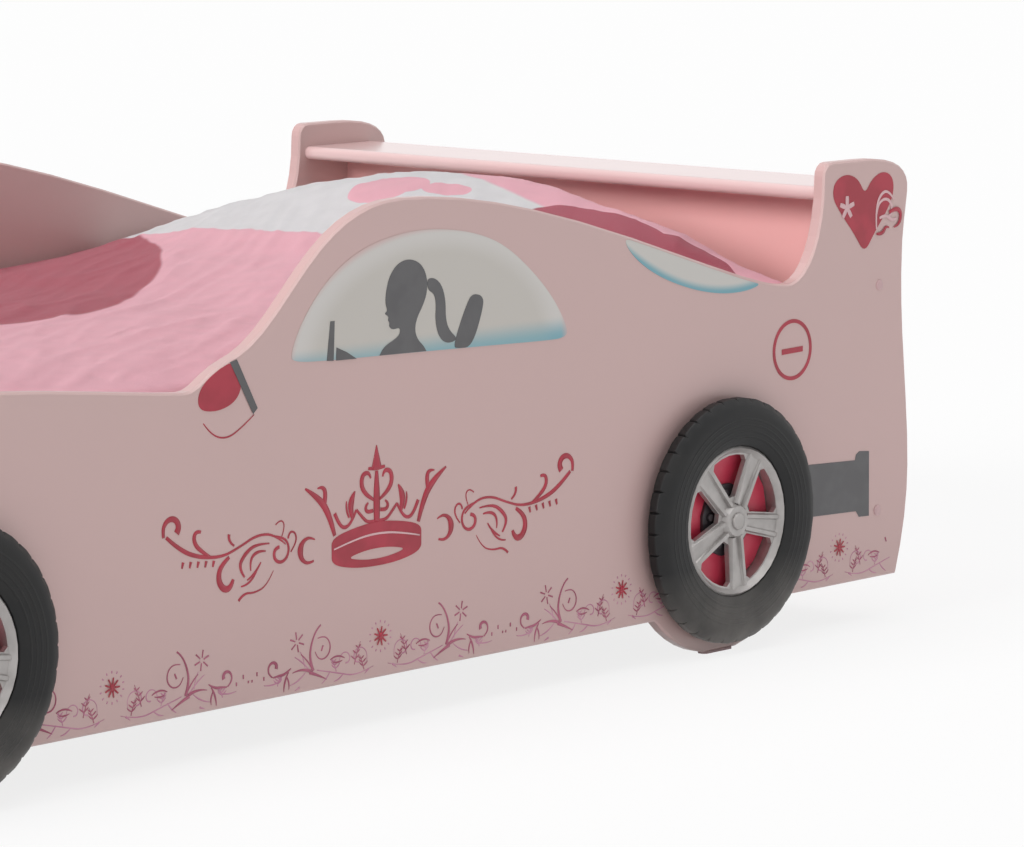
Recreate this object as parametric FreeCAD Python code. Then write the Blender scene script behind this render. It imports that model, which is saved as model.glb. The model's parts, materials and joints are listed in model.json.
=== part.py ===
import FreeCAD, Part
import math
import os
from FreeCAD import Vector

# Child's bed shaped like a car: two cut-out side panels carry a headboard, a footboard with a
# low nose, a spoiler shelf and a slatted base with a mattress, pillow and duvet.
# Millimetres. X runs along the bed towards the headboard, Y across it towards the far side,
# Z up. The origin is on the floor under the middle of the bed.

os.makedirs("parts", exist_ok=True)

# ---- Mattress and the space it lies in ----
mattress_length = 2000.0
mattress_width = 900.0
mattress_thickness = 140.0
mattress_play_long = 10.0
mattress_play_wide = 20.0
mattress_corner = 45.0
mattress_edge = 18.0
soft_clearance = 0.3

# ---- Boards ----
board = 18.0
headboard_thickness = 40.0
headboard_inset = 46.0
nose_depth = 111.0
board_edge = 2.5
outline_sag = 0.4
board_lift = 20.0
slot_clearance = 0.3

# ---- Side panel outline, heights from the floor ----
sill_height = 55.0
roof_height = 613.0
fin_height = 603.0
cowl_height = 420.0
crest_height = 452.0
dip_height = 454.0
nose_shoulder_height = 402.0
nose_height = 235.0

# ---- Side panel outline, distances from its rear end ----
rear_overhang = 382.5
wheelbase = 1300.0
roof_back = 962.0
cowl_back = 1312.0
dip_back = 252.0
fin_front_back = 182.0
fin_flat = 60.0
fin_corner = 17.0
fin_shoulder_back = 7.0
fin_shoulder_height = 556.0
waist_back = 17.5
waist_height = 448.0
tail_bulge_height = 196.0
heel_back = 24.5
pillar_run = 71.0
pillar_rise = 31.0
nose_shoulder_run = 82.0
toe_run = 27.0

# ---- Wheels ----
axle_height = 169.0
tyre_radius = 155.0
tyre_width = 34.0
tyre_bore = 95.0
rim_radius = 94.6
rim_depth = 28.0
rim_wall = 9.0
rim_web = 7.0
spoke_count = 5
spoke_phase = 61.0
spoke_root = 24.0
spoke_tip = 34.0
hub_radius = 23.0
hub_bore = 9.0
hub_cap_radius = 11.5
hub_cap_crown = 7.0
disc_thickness = 4.0
lug_radius = 5.0
lug_circle = 34.0
window_corner = 6.0
ridge_width = 9.0
shoulder_drop = 9.0
back_drop = 16.0
tread_back = 12.0
tread_front = 24.0
wheel_screw_turns = (-30, 210)
carrier_radius = 46.0
tread_grooves = 36
ring_sides = 36
hub_sides = 16
tread_groove_width = 5.0
tread_groove_depth = 4.0
lobe_fillet = 6.0
glide_thickness = 3.0
glide_length = 56.0
glide_width = 15.0

# ---- Slatted base ----
base_height = 245.0
rail_height = 40.0
rail_thickness = 25.0
rail_end_gap = 15.0
slat_count = 12
slat_width = 75.0
slat_thickness = 15.0
slat_end_gap = 6.0
tape_width = 25.0
tape_thickness = 0.8
tape_offset = 330.0
beam_height = 60.0
beam_thickness = 28.0
hanger_sheet = 2.0
hanger_flange = 18.0
leg_size = 45.0
leg_spread = 560.0

# ---- Spoiler and nose ----
spoiler_depth = 132.0
spoiler_top = 571.0
spoiler_overhang = 85.0
spoiler_nosing = 8.0
footboard_top = 402.0
bonnet_drop = 70.0
bumper_inset = 20.0
bumper_lift = 35.0

# ---- Fastenings ----
bolt_radius = 3.0
bolt_clearance = 0.5
bolt_head_radius = 6.5
bolt_head_height = 3.0
bolt_upper = 438.0
bolt_front_upper = 330.0
bolt_lower = 143.0
cap_radius = 7.0
cap_crown = 2.5
cap_sides = 12
nut_radius = 5.0
nut_length = 14.0
nut_depth = 33.0
nut_bite = 3.0
nut_sides = 8
dowel_radius = 4.0
dowel_length = 30.0
hole_clearance = 0.1
screw_radius = 2.0
screw_head_radius = 4.0
screw_bite = 12.0
rail_screw_count = 3
rail_screw_inset = 60.0
bracket_leg = 32.0
bracket_width = 20.0
bracket_sheet = 2.0
bracket_low_lift = 25.0
bracket_high_drop = 90.0
cleat_length = 120.0
cleat_depth = 20.0
cleat_height = 24.0
cleat_gap = 0.3

# ---- Bedding ----
pillow_depth = 390.0
pillow_width = 660.0
pillow_thickness = 100.0
pillow_shift = 90.0
pillow_from_spoiler = 26.0
pillow_corner = 70.0
corner_runs = 3
duvet_margin = 2.0
duvet_edge = 26.0
duvet_crown = 52.0
duvet_loft = 40.0
duvet_from_spoiler = 4.0
duvet_foot_gap = 22.0
duvet_rise_run = 330.0

# ---- Worked-out places ----
inner_length = mattress_length + mattress_play_long
inner_width = mattress_width + mattress_play_wide
panel_length = headboard_inset + headboard_thickness + inner_length + board + nose_depth
rear_x = panel_length / 2
front_x = -rear_x
headboard_x = rear_x - headboard_inset - headboard_thickness
footboard_x = headboard_x - inner_length
rear_axle_x = rear_x - rear_overhang
front_axle_x = rear_axle_x - wheelbase
inner_y = inner_width / 2
outer_y = inner_y + board
bolt_length = board + nut_depth + nut_bite - 1.2
spoiler_front_x = headboard_x - spoiler_overhang
board_foot = sill_height + board_lift
mattress_z = base_height + slat_thickness + soft_clearance
mattress_top = mattress_z + mattress_thickness
rim_face = rim_depth - 7
screw_circle = (carrier_radius + rim_radius - rim_wall) / 2


# ---- Small helpers ----
def at(x, z, y=0.0):
    """A point of a side profile: x along the bed, z up."""
    return Vector(x, y, z)


def curve(start, start_deg, start_pull, end, end_deg, end_pull):
    """A smooth stroke between two points that leaves and arrives at the given angles."""
    a = math.radians(start_deg)
    b = math.radians(end_deg)
    stroke = Part.BezierCurve()
    stroke.setPoles([
        start,
        start + Vector(math.cos(a), 0, math.sin(a)) * start_pull,
        end - Vector(math.cos(b), 0, math.sin(b)) * end_pull,
        end,
    ])
    return stroke.toShape()


def line(start, end):
    return Part.LineSegment(start, end).toShape()


def arc(start, middle, end):
    return Part.Arc(start, middle, end).toShape()


def prism(edges, along):
    """A solid swept from a closed outline."""
    return Part.Face(Part.Wire(Part.__sortEdges__(edges))).extrude(along)


def polygon_prism(points, along):
    return Part.Face(Part.makePolygon(points + [points[0]])).extrude(along)


def box(x0, x1, y0, y1, z0, z1):
    return Part.makeBox(x1 - x0, y1 - y0, z1 - z0, Vector(x0, y0, z0))


def peg(radius, start, along, sides=8):
    """A rod with flat sides, for small shanks, pins and the bores that they fill."""
    axis = Vector(along).normalize()
    across = axis.cross(Vector(0, 0, 1)) if abs(axis.z) < 0.9 else Vector(1, 0, 0)
    up = axis.cross(across)
    corners = []
    for step in range(sides):
        a = 2 * math.pi * step / sides
        corners.append(start + (across * math.cos(a) + up * math.sin(a)) * radius)
    return polygon_prism(corners, along)


def facets(a, b, c, d):
    """A flat four-sided face, or two triangles where the corners don't lie flat."""
    normal = (b - a).cross(c - a).normalize()
    if abs(normal.dot(d - a)) < 0.0001:
        return [Part.Face(Part.makePolygon([a, b, c, d, a]))]
    return [Part.Face(Part.makePolygon([a, b, c, a])), Part.Face(Part.makePolygon([a, c, d, a]))]


def sewn(faces):
    """A solid from the faces of its skin."""
    shell = Part.makeShell(faces)
    shell.sewShape()
    return Part.makeSolid(shell)


def stacked(levels):
    """A solid between closed outlines of equally many points."""
    faces = [Part.Face(Part.makePolygon(outline + [outline[0]])) for outline in (levels[0], levels[-1])]
    for lower, upper in zip(levels, levels[1:]):
        for index, corner in enumerate(lower):
            beside = (index + 1) % len(lower)
            faces += facets(corner, lower[beside], upper[beside], upper[index])
    return sewn(faces)


def save(name, shape):
    shape.exportStep("parts/" + name + ".step")


def save_group(name, solids):
    save(name, Part.makeCompound(solids))


def mirrored(shape):
    """The same piece on the other side of the bed."""
    return shape.mirror(Vector(0, 0, 0), Vector(0, 1, 0))


def rounded(shape, radius, chosen):
    """Rounds the edges that the test chooses."""
    return shape.makeFillet(radius, [edge for edge in shape.Edges if chosen(edge)])


def bevelled(shape, width, chosen):
    """Cuts a narrow slant along the edges that the test chooses."""
    return shape.makeChamfer(width, [edge for edge in shape.Edges if chosen(edge)])


# ---- Side panels ----
def wheel_lobe(axle_x):
    """The round foot of the panel behind a wheel, with a flat for its glide."""
    blend_z = sill_height - lobe_fillet
    reach = math.sqrt((axle_height + lobe_fillet) ** 2 - (axle_height - blend_z) ** 2)
    ease = math.atan2(axle_height - blend_z, reach)
    touch = axle_height * math.cos(ease)
    touch_z = axle_height - axle_height * math.sin(ease)
    flat = math.sqrt(axle_height ** 2 - (axle_height - glide_thickness) ** 2)
    swing = (ease + math.asin((axle_height - glide_thickness) / axle_height)) / 2
    edges = []
    for side in (-1, 1):
        bend_x = axle_x + side * reach
        half_turn = (math.pi / 2 + ease) / 2
        bend_mid = at(bend_x - side * lobe_fillet * math.cos(half_turn),
                      blend_z + lobe_fillet * math.sin(half_turn))
        edges.append(arc(at(bend_x, sill_height), bend_mid, at(axle_x + side * touch, touch_z)))
        edges.append(arc(at(axle_x + side * touch, touch_z),
                         at(axle_x + side * axle_height * math.cos(swing),
                            axle_height - axle_height * math.sin(swing)),
                         at(axle_x + side * flat, glide_thickness)))
    edges.append(line(at(axle_x - flat, glide_thickness), at(axle_x + flat, glide_thickness)))
    return edges, reach


def panel_outline():
    """The car's silhouette, clockwise from the nose, seen from the near side."""
    nose = at(front_x, nose_height)
    nose_low = at(front_x, nose_height - 60)
    shoulder = at(front_x + nose_shoulder_run, nose_shoulder_height)
    crest = at(front_axle_x, crest_height)
    cowl = at(rear_x - cowl_back, cowl_height)
    pillar = at(rear_x - cowl_back + pillar_run, cowl_height + pillar_rise)
    roof = at(rear_x - roof_back, roof_height)
    dip = at(rear_x - dip_back, dip_height)
    fin_foot = at(rear_x - fin_front_back, fin_height - fin_corner)
    fin_start = at(rear_x - fin_front_back + fin_corner, fin_height)
    fin_end = at(rear_x - fin_front_back + fin_corner + fin_flat, fin_height)
    shoulder_back = at(rear_x - fin_shoulder_back, fin_shoulder_height)
    waist = at(rear_x - waist_back, waist_height)
    bulge = at(rear_x, tail_bulge_height)
    heel = at(rear_x - heel_back, sill_height)
    toe = at(front_x + toe_run, sill_height)
    turn = fin_corner * (1 - math.sqrt(0.5))
    fin_mid = at(fin_foot.x + turn, fin_height - turn)
    rear_lobe, reach = wheel_lobe(rear_axle_x)
    front_lobe, reach = wheel_lobe(front_axle_x)
    return rear_lobe + front_lobe + [
        curve(toe, 105, 45, nose_low, 90, 40),
        line(nose_low, nose),
        curve(nose, 90, 75, shoulder, 28, 55),
        curve(shoulder, 28, 120, crest, 0, 190),
        curve(crest, 0, 120, cowl, -2.5, 58),
        curve(cowl, -2.5, 21, pillar, 16, 40),
        curve(pillar, 16, 96, roof, 0, 150),
        curve(roof, 0, 262, dip, 0, 95),
        curve(dip, 0, 36, fin_foot, 90, 84),
        arc(fin_foot, fin_mid, fin_start),
        line(fin_start, fin_end),
        curve(fin_end, 0, 80, shoulder_back, -98, 28),
        curve(shoulder_back, -98, 45, waist, -90, 60),
        curve(waist, -90, 90, bulge, -90, 80),
        curve(bulge, -90, 60, heel, -108, 34),
        line(heel, at(rear_axle_x + reach, sill_height)),
        line(at(rear_axle_x - reach, sill_height), at(front_axle_x + reach, sill_height)),
        line(at(front_axle_x - reach, sill_height), toe),
    ]


def outline_corners():
    """The silhouette as a chain of short straight runs: its corners in order."""
    corners = []
    for edge in Part.__sortEdges__(panel_outline()):
        straight = edge.Curve.TypeId == "Part::GeomLine"
        points = [edge.Vertexes[0].Point, edge.Vertexes[-1].Point]
        if not straight:
            points = edge.discretize(Deflection=outline_sag)
        if corners and (points[-1] - corners[-1]).Length < (points[0] - corners[-1]).Length:
            points.reverse()
        corners += points if not corners else points[1:]
    return corners[:-1]


def drawn_in(corners, width):
    """The same chain moved inwards by a width."""
    moved = []
    for index, corner in enumerate(corners):
        before = (corner - corners[index - 1]).normalize()
        after = (corners[(index + 1) % len(corners)] - corner).normalize()
        lean = (before + after).normalize()
        inward = Vector(-lean.z, 0, lean.x)
        moved.append(corner + inward * (width / max(0.4, lean.dot(after))))
    return moved


def bolt_places():
    """Where the frame bolts pass through the panels: x and z."""
    head_x = headboard_x + headboard_thickness / 2
    foot_x = footboard_x - board / 2
    return [(head_x, bolt_upper), (head_x, bolt_lower), (foot_x, bolt_front_upper),
            (foot_x, bolt_lower)]


def rail_screw_places():
    """Where the rails are screwed to the panels, spread along the bed."""
    first = footboard_x + rail_end_gap + rail_screw_inset
    last = headboard_x - rail_end_gap - rail_screw_inset
    return [first + (last - first) * step / (rail_screw_count - 1) for step in range(rail_screw_count)]


def wheel_screw_places():
    """Where the wheels' screws pass through a panel: x and z."""
    return [(axle_x + screw_circle * math.cos(math.radians(turn)),
             axle_height + screw_circle * math.sin(math.radians(turn)))
            for axle_x in (front_axle_x, rear_axle_x) for turn in wheel_screw_turns]


def side_panel():
    """The near panel: cut outline, bevelled edges, bolt holes and pilot holes."""
    full = outline_corners()
    slim = drawn_in(full, board_edge)
    sheet = stacked([[corner + Vector(0, y, 0) for corner in outline] for outline, y in (
        (slim, -outer_y), (full, -outer_y + board_edge), (full, -inner_y - board_edge), (slim, -inner_y))])
    holes = []
    for x, z in bolt_places():
        holes.append(peg(bolt_radius + bolt_clearance, at(x, z, -outer_y - 1), Vector(0, board + 2, 0)))
        holes.append(peg(bolt_head_radius + hole_clearance, at(x, z, -outer_y - 1),
                         Vector(0, bolt_head_height + 1, 0)))
    for x, z in wheel_screw_places():
        holes.append(peg(screw_radius + hole_clearance, at(x, z, -outer_y - 1),
                         Vector(0, board + 2, 0)))
    for x in rail_screw_places():
        holes.append(peg(screw_radius + hole_clearance, at(x, base_height - rail_height / 2, -inner_y + 1),
                         Vector(0, -screw_bite - 1, 0)))
    for x, z in spoiler_dowel_places():
        holes.append(peg(dowel_radius + hole_clearance, at(x, z, -inner_y + 1),
                         Vector(0, -dowel_length / 2 + 3, 0)))
    return sheet.cut(Part.makeCompound(holes))


# ---- Cross boards ----
def board_bolt_holes(x, heights, nut_from_x, nut_along):
    """Edge bores for the frame bolts and the cross bores for their barrel nuts."""
    holes = []
    for side in (-1, 1):
        for z in heights:
            holes.append(peg(bolt_radius + bolt_clearance, at(x, z, side * (inner_y + 1)),
                             Vector(0, -side * (nut_depth + 1), 0)))
            holes.append(peg(nut_radius + hole_clearance, at(nut_from_x, z, side * (inner_y - nut_depth)),
                             Vector(nut_along, 0, 0), nut_sides))
    return holes


def headboard():
    """A hollow-core board between the panels; its top carries the spoiler."""
    x0 = headboard_x
    x1 = headboard_x + headboard_thickness
    slab = box(x0, x1, -inner_y, inner_y, board_foot, spoiler_top - board)
    slab = rounded(slab, board_edge, lambda e: e.BoundBox.YLength > inner_width - 1
                   and e.BoundBox.ZMax < board_foot + 1)
    bore = headboard_thickness / 2 + nut_length / 2
    holes = board_bolt_holes((x0 + x1) / 2, (bolt_upper, bolt_lower), x1 + 1, -bore - 1)
    for y in spoiler_pin_places():
        holes.append(peg(dowel_radius + hole_clearance,
                         Vector((x0 + x1) / 2, y, spoiler_top - board + 1),
                         Vector(0, 0, -dowel_length + board - 6)))
    return slab.cut(Part.makeCompound(holes))


def footboard():
    slab = box(footboard_x - board, footboard_x, -inner_y, inner_y, board_foot, footboard_top)
    slab = rounded(slab, board_edge, lambda e: e.BoundBox.YLength > inner_width - 1
                   and e.BoundBox.XMin > footboard_x - 1)
    holes = board_bolt_holes(footboard_x - board / 2, (bolt_front_upper, bolt_lower),
                             footboard_x - board - 1, nut_length / 2 + board / 2 + 1)
    return slab.cut(Part.makeCompound(holes))


def bonnet_line(x, below=0.0):
    """Height of the bonnet board's face at x: it falls from the footboard to the bumper."""
    run = footboard_x - board - (front_x + bumper_inset)
    return footboard_top - bonnet_drop * (footboard_x - board - x) / run - below


def bonnet_sink():
    """How far the sloping bonnet board's underside lies below its face, measured straight down."""
    run = footboard_x - board - (front_x + bumper_inset)
    return board / math.cos(math.atan2(bonnet_drop, run))


def bonnet_board():
    """A sloping board over the nose."""
    x0 = front_x + bumper_inset
    x1 = footboard_x - board
    drop = bonnet_sink()
    slab = polygon_prism([at(x0, bonnet_line(x0), -inner_y), at(x1, bonnet_line(x1), -inner_y),
                          at(x1, bonnet_line(x1, drop), -inner_y), at(x0, bonnet_line(x0, drop), -inner_y)],
                         Vector(0, inner_width, 0))
    return rounded(slab, board / 3, lambda e: e.BoundBox.YLength > inner_width - 1
                   and e.BoundBox.XMax < x0 + 1 and e.BoundBox.ZMin > bonnet_line(x0) - 1)


def bumper_board():
    """The upright front board; its top is bevelled to the bonnet board's underside."""
    x0 = front_x + bumper_inset
    x1 = x0 + board
    drop = bonnet_sink()
    foot = sill_height + bumper_lift
    slab = polygon_prism([at(x0, foot, -inner_y), at(x1, foot, -inner_y),
                          at(x1, bonnet_line(x1, drop), -inner_y), at(x0, bonnet_line(x0, drop), -inner_y)],
                         Vector(0, inner_width, 0))
    return rounded(slab, board / 3, lambda e: e.BoundBox.YLength > inner_width - 1
                   and e.BoundBox.XMax < x0 + 1 and e.BoundBox.ZMax < foot + 1)


# ---- Spoiler ----
def spoiler_dowel_places():
    """Dowels from the spoiler's ends into the side panels: x and z."""
    mid_z = spoiler_top - board / 2
    return [(spoiler_front_x + 30, mid_z), (spoiler_front_x + spoiler_depth - 30, mid_z)]


def spoiler_pin_places():
    """Dowels from the spoiler down into the headboard: y."""
    return [-inner_width / 3, 0.0, inner_width / 3]


def spoiler_board():
    """The shelf across the fins, with a bullnose front."""
    slab = box(spoiler_front_x, spoiler_front_x + spoiler_depth, -inner_y, inner_y,
               spoiler_top - board, spoiler_top)
    slab = rounded(slab, spoiler_nosing, lambda e: e.BoundBox.YLength > inner_width - 1
                   and e.BoundBox.XMax < spoiler_front_x + 1)
    slab = rounded(slab, board_edge, lambda e: e.BoundBox.YLength > inner_width - 1
                   and e.BoundBox.XMin > spoiler_front_x + spoiler_depth - 1)
    holes = []
    for side in (-1, 1):
        for x, z in spoiler_dowel_places():
            holes.append(peg(dowel_radius + hole_clearance, at(x, z, side * (inner_y + 1)),
                             Vector(0, -side * (dowel_length / 2 + 4), 0)))
    for y in spoiler_pin_places():
        holes.append(peg(dowel_radius + hole_clearance,
                         Vector(headboard_x + headboard_thickness / 2, y, spoiler_top - board - 1),
                         Vector(0, 0, board - 5)))
    return slab.cut(Part.makeCompound(holes))


def spoiler_dowels():
    pins = []
    for side in (-1, 1):
        for x, z in spoiler_dowel_places():
            start = side * (inner_y + dowel_length / 2 - 4)
            pins.append(peg(dowel_radius, at(x, z, start), Vector(0, -side * (dowel_length - 2), 0)))
    for y in spoiler_pin_places():
        pins.append(peg(dowel_radius, Vector(headboard_x + headboard_thickness / 2, y,
                                             spoiler_top - 7), Vector(0, 0, -dowel_length + 2)))
    return pins


# ---- Fastenings of the frame ----
def frame_bolts():
    """Flat-headed bolts from outside through both panels into the barrel nuts."""
    bolts = []
    for side in (-1, 1):
        for x, z in bolt_places():
            face = side * outer_y
            head = peg(bolt_head_radius, at(x, z, face - side * 0.1),
                       Vector(0, -side * (bolt_head_height - 0.1), 0))
            shank = peg(bolt_radius, at(x, z, face - side * bolt_head_height),
                        Vector(0, -side * (bolt_length - bolt_head_height), 0))
            bolts.append(head.fuse(shank))
    return bolts


def bolt_caps():
    """Low round covers over the bolt heads."""
    cap = faceted([(0, 0), (cap_radius, 0), (cap_radius, cap_crown * 0.4), (cap_radius * 0.6, cap_crown),
                   (0, cap_crown)], cap_sides)
    near = [mirrored(cap).translated(at(x, z, -outer_y)) for x, z in bolt_places()]
    return near + [mirrored(copy) for copy in near]


def barrel_nuts():
    nuts = []
    for side in (-1, 1):
        for x, z in bolt_places():
            y = side * (inner_y - nut_depth)
            barrel = peg(nut_radius, at(x - nut_length / 2, z, y), Vector(nut_length, 0, 0), nut_sides)
            thread = peg(bolt_radius + 0.05, at(x, z, y + side * (nut_radius + 1)),
                         Vector(0, -side * (nut_radius + nut_bite), 0))
            nuts.append(barrel.cut(thread))
    return nuts


def panel_glides():
    """Plastic glides under the panels' round feet."""
    pads = []
    for side in (-1, 1):
        for axle_x in (front_axle_x, rear_axle_x):
            mid = side * (outer_y - board / 2)
            pad = box(axle_x - glide_length / 2, axle_x + glide_length / 2,
                      mid - glide_width / 2, mid + glide_width / 2, 0, glide_thickness)
            pads.append(bevelled(pad, 4.0, lambda e: e.BoundBox.ZLength > glide_thickness - 0.1))
    return pads


# ---- Wheels, drawn about their own axis: Y points out of the panel ----
def faceted(points, sides):
    """A ring about Y made of flat facets, from its section's corners, given as radius and depth."""
    rings = [[polar(radius, 360.0 * (step + 0.5) / sides, depth) for step in range(sides)]
             for radius, depth in points]
    faces = []
    for index, ring in enumerate(rings):
        after = rings[(index + 1) % len(rings)]
        if ring[0].x == after[0].x == 0:
            continue
        for step in range(sides):
            beside = (step + 1) % sides
            corners = [ring[step]]
            for corner in (ring[beside], after[beside], after[step]):
                if (corner - corners[-1]).Length > 0.001 and (corner - corners[0]).Length > 0.001:
                    corners.append(corner)
            faces.append(Part.Face(Part.makePolygon(corners + [corners[0]])))
    return sewn(faces).removeSplitter()


def polar(radius, degrees, depth=0.0):
    """A point on a wheel: its angle runs from the rear towards the top."""
    a = math.radians(degrees)
    return Vector(radius * math.cos(a), depth, radius * math.sin(a))


def tyre():
    """Moulded tyre: a sloping shoulder on each side of a tread cut by cross grooves."""
    shoulder = tyre_radius - shoulder_drop
    body = faceted([(tyre_bore, 0), (tyre_radius - back_drop, 0), (tyre_radius, tread_back),
                    (tyre_radius, tread_front), (shoulder, tyre_width - 3), (shoulder - 10, tyre_width),
                    (tyre_bore + 12, tyre_width - 1), (tyre_bore, rim_depth - 1)], ring_sides)
    half = tread_groove_width / 2
    groove = polygon_prism([Vector(-half, 0, tyre_radius + 1), Vector(half, 0, tyre_radius + 1),
                            Vector(0, 0, tyre_radius - tread_groove_depth)], Vector(0, tyre_width, 0))
    grooves = []
    for step in range(tread_grooves):
        copy = groove.copy()
        copy.rotate(Vector(0, 0, 0), Vector(0, 1, 0), 360.0 * step / tread_grooves)
        grooves.append(copy)
    return body.cut(Part.makeCompound(grooves))


def spoke_window(index):
    """The opening between two spokes: a wedge with its corners turned, cut right through."""
    outer = rim_radius - rim_wall - 2
    inner = hub_radius + 8
    middle = spoke_phase + (index + 0.5) * 360.0 / spoke_count
    wide = 180.0 / spoke_count - math.degrees(math.asin(spoke_tip / 2 / outer))
    narrow = 180.0 / spoke_count - math.degrees(math.asin(spoke_root / 2 / inner))
    turn = math.degrees(window_corner / outer)
    half = [(outer, 0), (outer, (wide - turn) / 2), (outer, wide - turn), (outer - window_corner, wide - 0.3),
            (inner + window_corner, narrow + 0.6), (inner, narrow - 3)]
    corners = [polar(radius, middle + swing) for radius, swing in half]
    corners += [polar(radius, middle - swing) for radius, swing in reversed(half[1:])]
    return polygon_prism(corners, Vector(0, rim_depth + 2, 0))


def spoke_ridge(index, side):
    """One of a spoke's two raised ridges: it leaves the hub high and sinks into the ring."""
    start = hub_radius - 3
    end = rim_radius - rim_wall + 2
    levels = []
    for reach, middle, crown in ((start, spoke_root / 2 - ridge_width / 2, rim_depth - 2),
                                 (end, spoke_tip / 2 - ridge_width / 2 - 1, rim_depth - 5)):
        low = rim_face - 1
        levels.append([Vector(side * (middle - ridge_width / 2), low, reach),
                       Vector(side * (middle - ridge_width / 4), crown, reach),
                       Vector(side * (middle + ridge_width / 4), crown, reach),
                       Vector(side * (middle + ridge_width / 2), low, reach)])
    ridge = stacked(levels)
    ridge.rotate(Vector(0, 0, 0), Vector(0, 1, 0), 90 - spoke_phase - index * 360.0 / spoke_count)
    return ridge


def rim():
    """Five-spoke moulded rim: lipped ring, web with windows, twin-ridged spokes and a hub."""
    web_back = rim_face - rim_web
    inner = rim_radius - rim_wall
    body = faceted([(hub_radius - 3, web_back), (inner, web_back), (inner, 0), (rim_radius, 0),
                    (rim_radius, rim_depth - 3), (rim_radius - 3, rim_depth), (inner, rim_face),
                    (hub_radius - 3, rim_face)], ring_sides)
    hub = faceted([(hub_bore, web_back), (hub_radius, web_back), (hub_radius, rim_face),
                   (hub_radius - 4, rim_depth), (hub_bore, rim_depth)], hub_sides)
    windows = Part.makeCompound([spoke_window(index) for index in range(spoke_count)])
    ridges = [spoke_ridge(index, side) for index in range(spoke_count) for side in (-1, 1)]
    return body.cut(windows).fuse(ridges + [hub]).removeSplitter()


def backing_disc():
    """The coloured disc behind the spokes; the wheel's screws end in it."""
    disc = peg(rim_radius - rim_wall - 0.5, Vector(0, 0, 0), Vector(0, disc_thickness, 0), hub_sides)
    holes = [peg(screw_radius, polar(screw_circle, turn, -1), Vector(0, disc_thickness, 0))
             for turn in wheel_screw_turns]
    return disc.cut(Part.makeCompound(holes))


def hub_carrier():
    """The dark brake hub behind the spokes: a stepped disc with five lugs."""
    step = disc_thickness + 4
    body = faceted([(0, disc_thickness), (carrier_radius, disc_thickness), (carrier_radius, step),
                    (hub_radius - 3, step), (hub_radius - 3, rim_face - rim_web),
                    (0, rim_face - rim_web)], hub_sides)
    lugs = []
    for index in range(spoke_count):
        middle = polar(lug_circle, spoke_phase + (index + 0.5) * 360.0 / spoke_count, step - 1)
        corners = [middle + polar(lug_radius, 60 * side) for side in range(6)]
        lugs.append(polygon_prism(corners, Vector(0, 5, 0)))
    return body.fuse(lugs)


def hub_cap():
    """The domed cap in the middle of the rim."""
    back = rim_face - rim_web
    return faceted([(0, back), (hub_bore - hole_clearance, back), (hub_bore - hole_clearance, rim_depth),
                    (hub_cap_radius, rim_depth), (hub_cap_radius - 1, rim_depth + 3),
                    (hub_cap_radius * 0.6, rim_depth + hub_cap_crown - 1.5),
                    (0, rim_depth + hub_cap_crown)], hub_sides)


def wheel_screw(turn):
    """A screw from inside the panel into the wheel's backing disc."""
    head = peg(screw_head_radius, polar(screw_circle, turn, -board - 2.2), Vector(0, 2.2, 0))
    shank = peg(screw_radius, polar(screw_circle, turn, -board), Vector(0, board + disc_thickness - 1.2, 0))
    return head.fuse(shank)


def on_each_wheel(piece):
    """Four copies of a wheel's piece: near front, near rear, far front and far rear."""
    outward = mirrored(piece)
    near = [outward.translated(at(axle_x, axle_height, -outer_y)) for axle_x in (front_axle_x, rear_axle_x)]
    return near + [mirrored(copy) for copy in near]


# ---- Slatted base ----
def slat_rail():
    """A batten along the inside of the near panel that carries the slats' ends."""
    batten = box(footboard_x + rail_end_gap, headboard_x - rail_end_gap, -inner_y,
                 -inner_y + rail_thickness, base_height - rail_height, base_height)
    batten = bevelled(batten, 2.0, lambda e: e.BoundBox.XLength > inner_length / 2
                      and e.BoundBox.YMin > -inner_y + 1)
    holes = []
    for x in rail_screw_places():
        mid = at(x, base_height - rail_height / 2, -inner_y + rail_thickness)
        holes.append(peg(screw_radius + hole_clearance, mid + Vector(0, 1, 0),
                         Vector(0, -rail_thickness - 2, 0)))
    return batten.cut(Part.makeCompound(holes))


def rail_screws():
    screws = []
    for x in rail_screw_places():
        mid = at(x, base_height - rail_height / 2, -inner_y + rail_thickness)
        head = peg(screw_head_radius, mid, Vector(0, 2.2, 0))
        shank = peg(screw_radius, mid, Vector(0, -rail_thickness - screw_bite + 1, 0))
        screw = head.fuse(shank)
        screws += [screw, mirrored(screw)]
    return screws


def slat_places():
    """Middle of each slat, from the foot end to just short of the spoiler."""
    first = footboard_x + 10 + slat_width / 2
    last = spoiler_front_x - 8 - slat_width / 2
    return [first + (last - first) * step / (slat_count - 1) for step in range(slat_count)]


def slat(x):
    reach = inner_y - slat_end_gap
    strip = box(x - slat_width / 2, x + slat_width / 2, -reach, reach, base_height,
                base_height + slat_thickness - tape_thickness)
    return bevelled(strip, 2.0, lambda e: e.BoundBox.YLength > reach
                    and e.BoundBox.ZMin > base_height + 1)


def slat_tape(y):
    """A webbing strip stapled along the slats' tops to space them."""
    places = slat_places()
    z = base_height + slat_thickness - tape_thickness
    return box(places[0] - slat_width / 3, places[-1] + slat_width / 3, y - tape_width / 2,
               y + tape_width / 2, z, z + tape_thickness)


def centre_beam():
    x0 = footboard_x + hanger_sheet + slot_clearance
    x1 = headboard_x - hanger_sheet - slot_clearance
    beam = box(x0, x1, -beam_thickness / 2, beam_thickness / 2, base_height - beam_height, base_height)
    return bevelled(beam, 2.0, lambda e: e.BoundBox.XLength > inner_length / 2)


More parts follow.
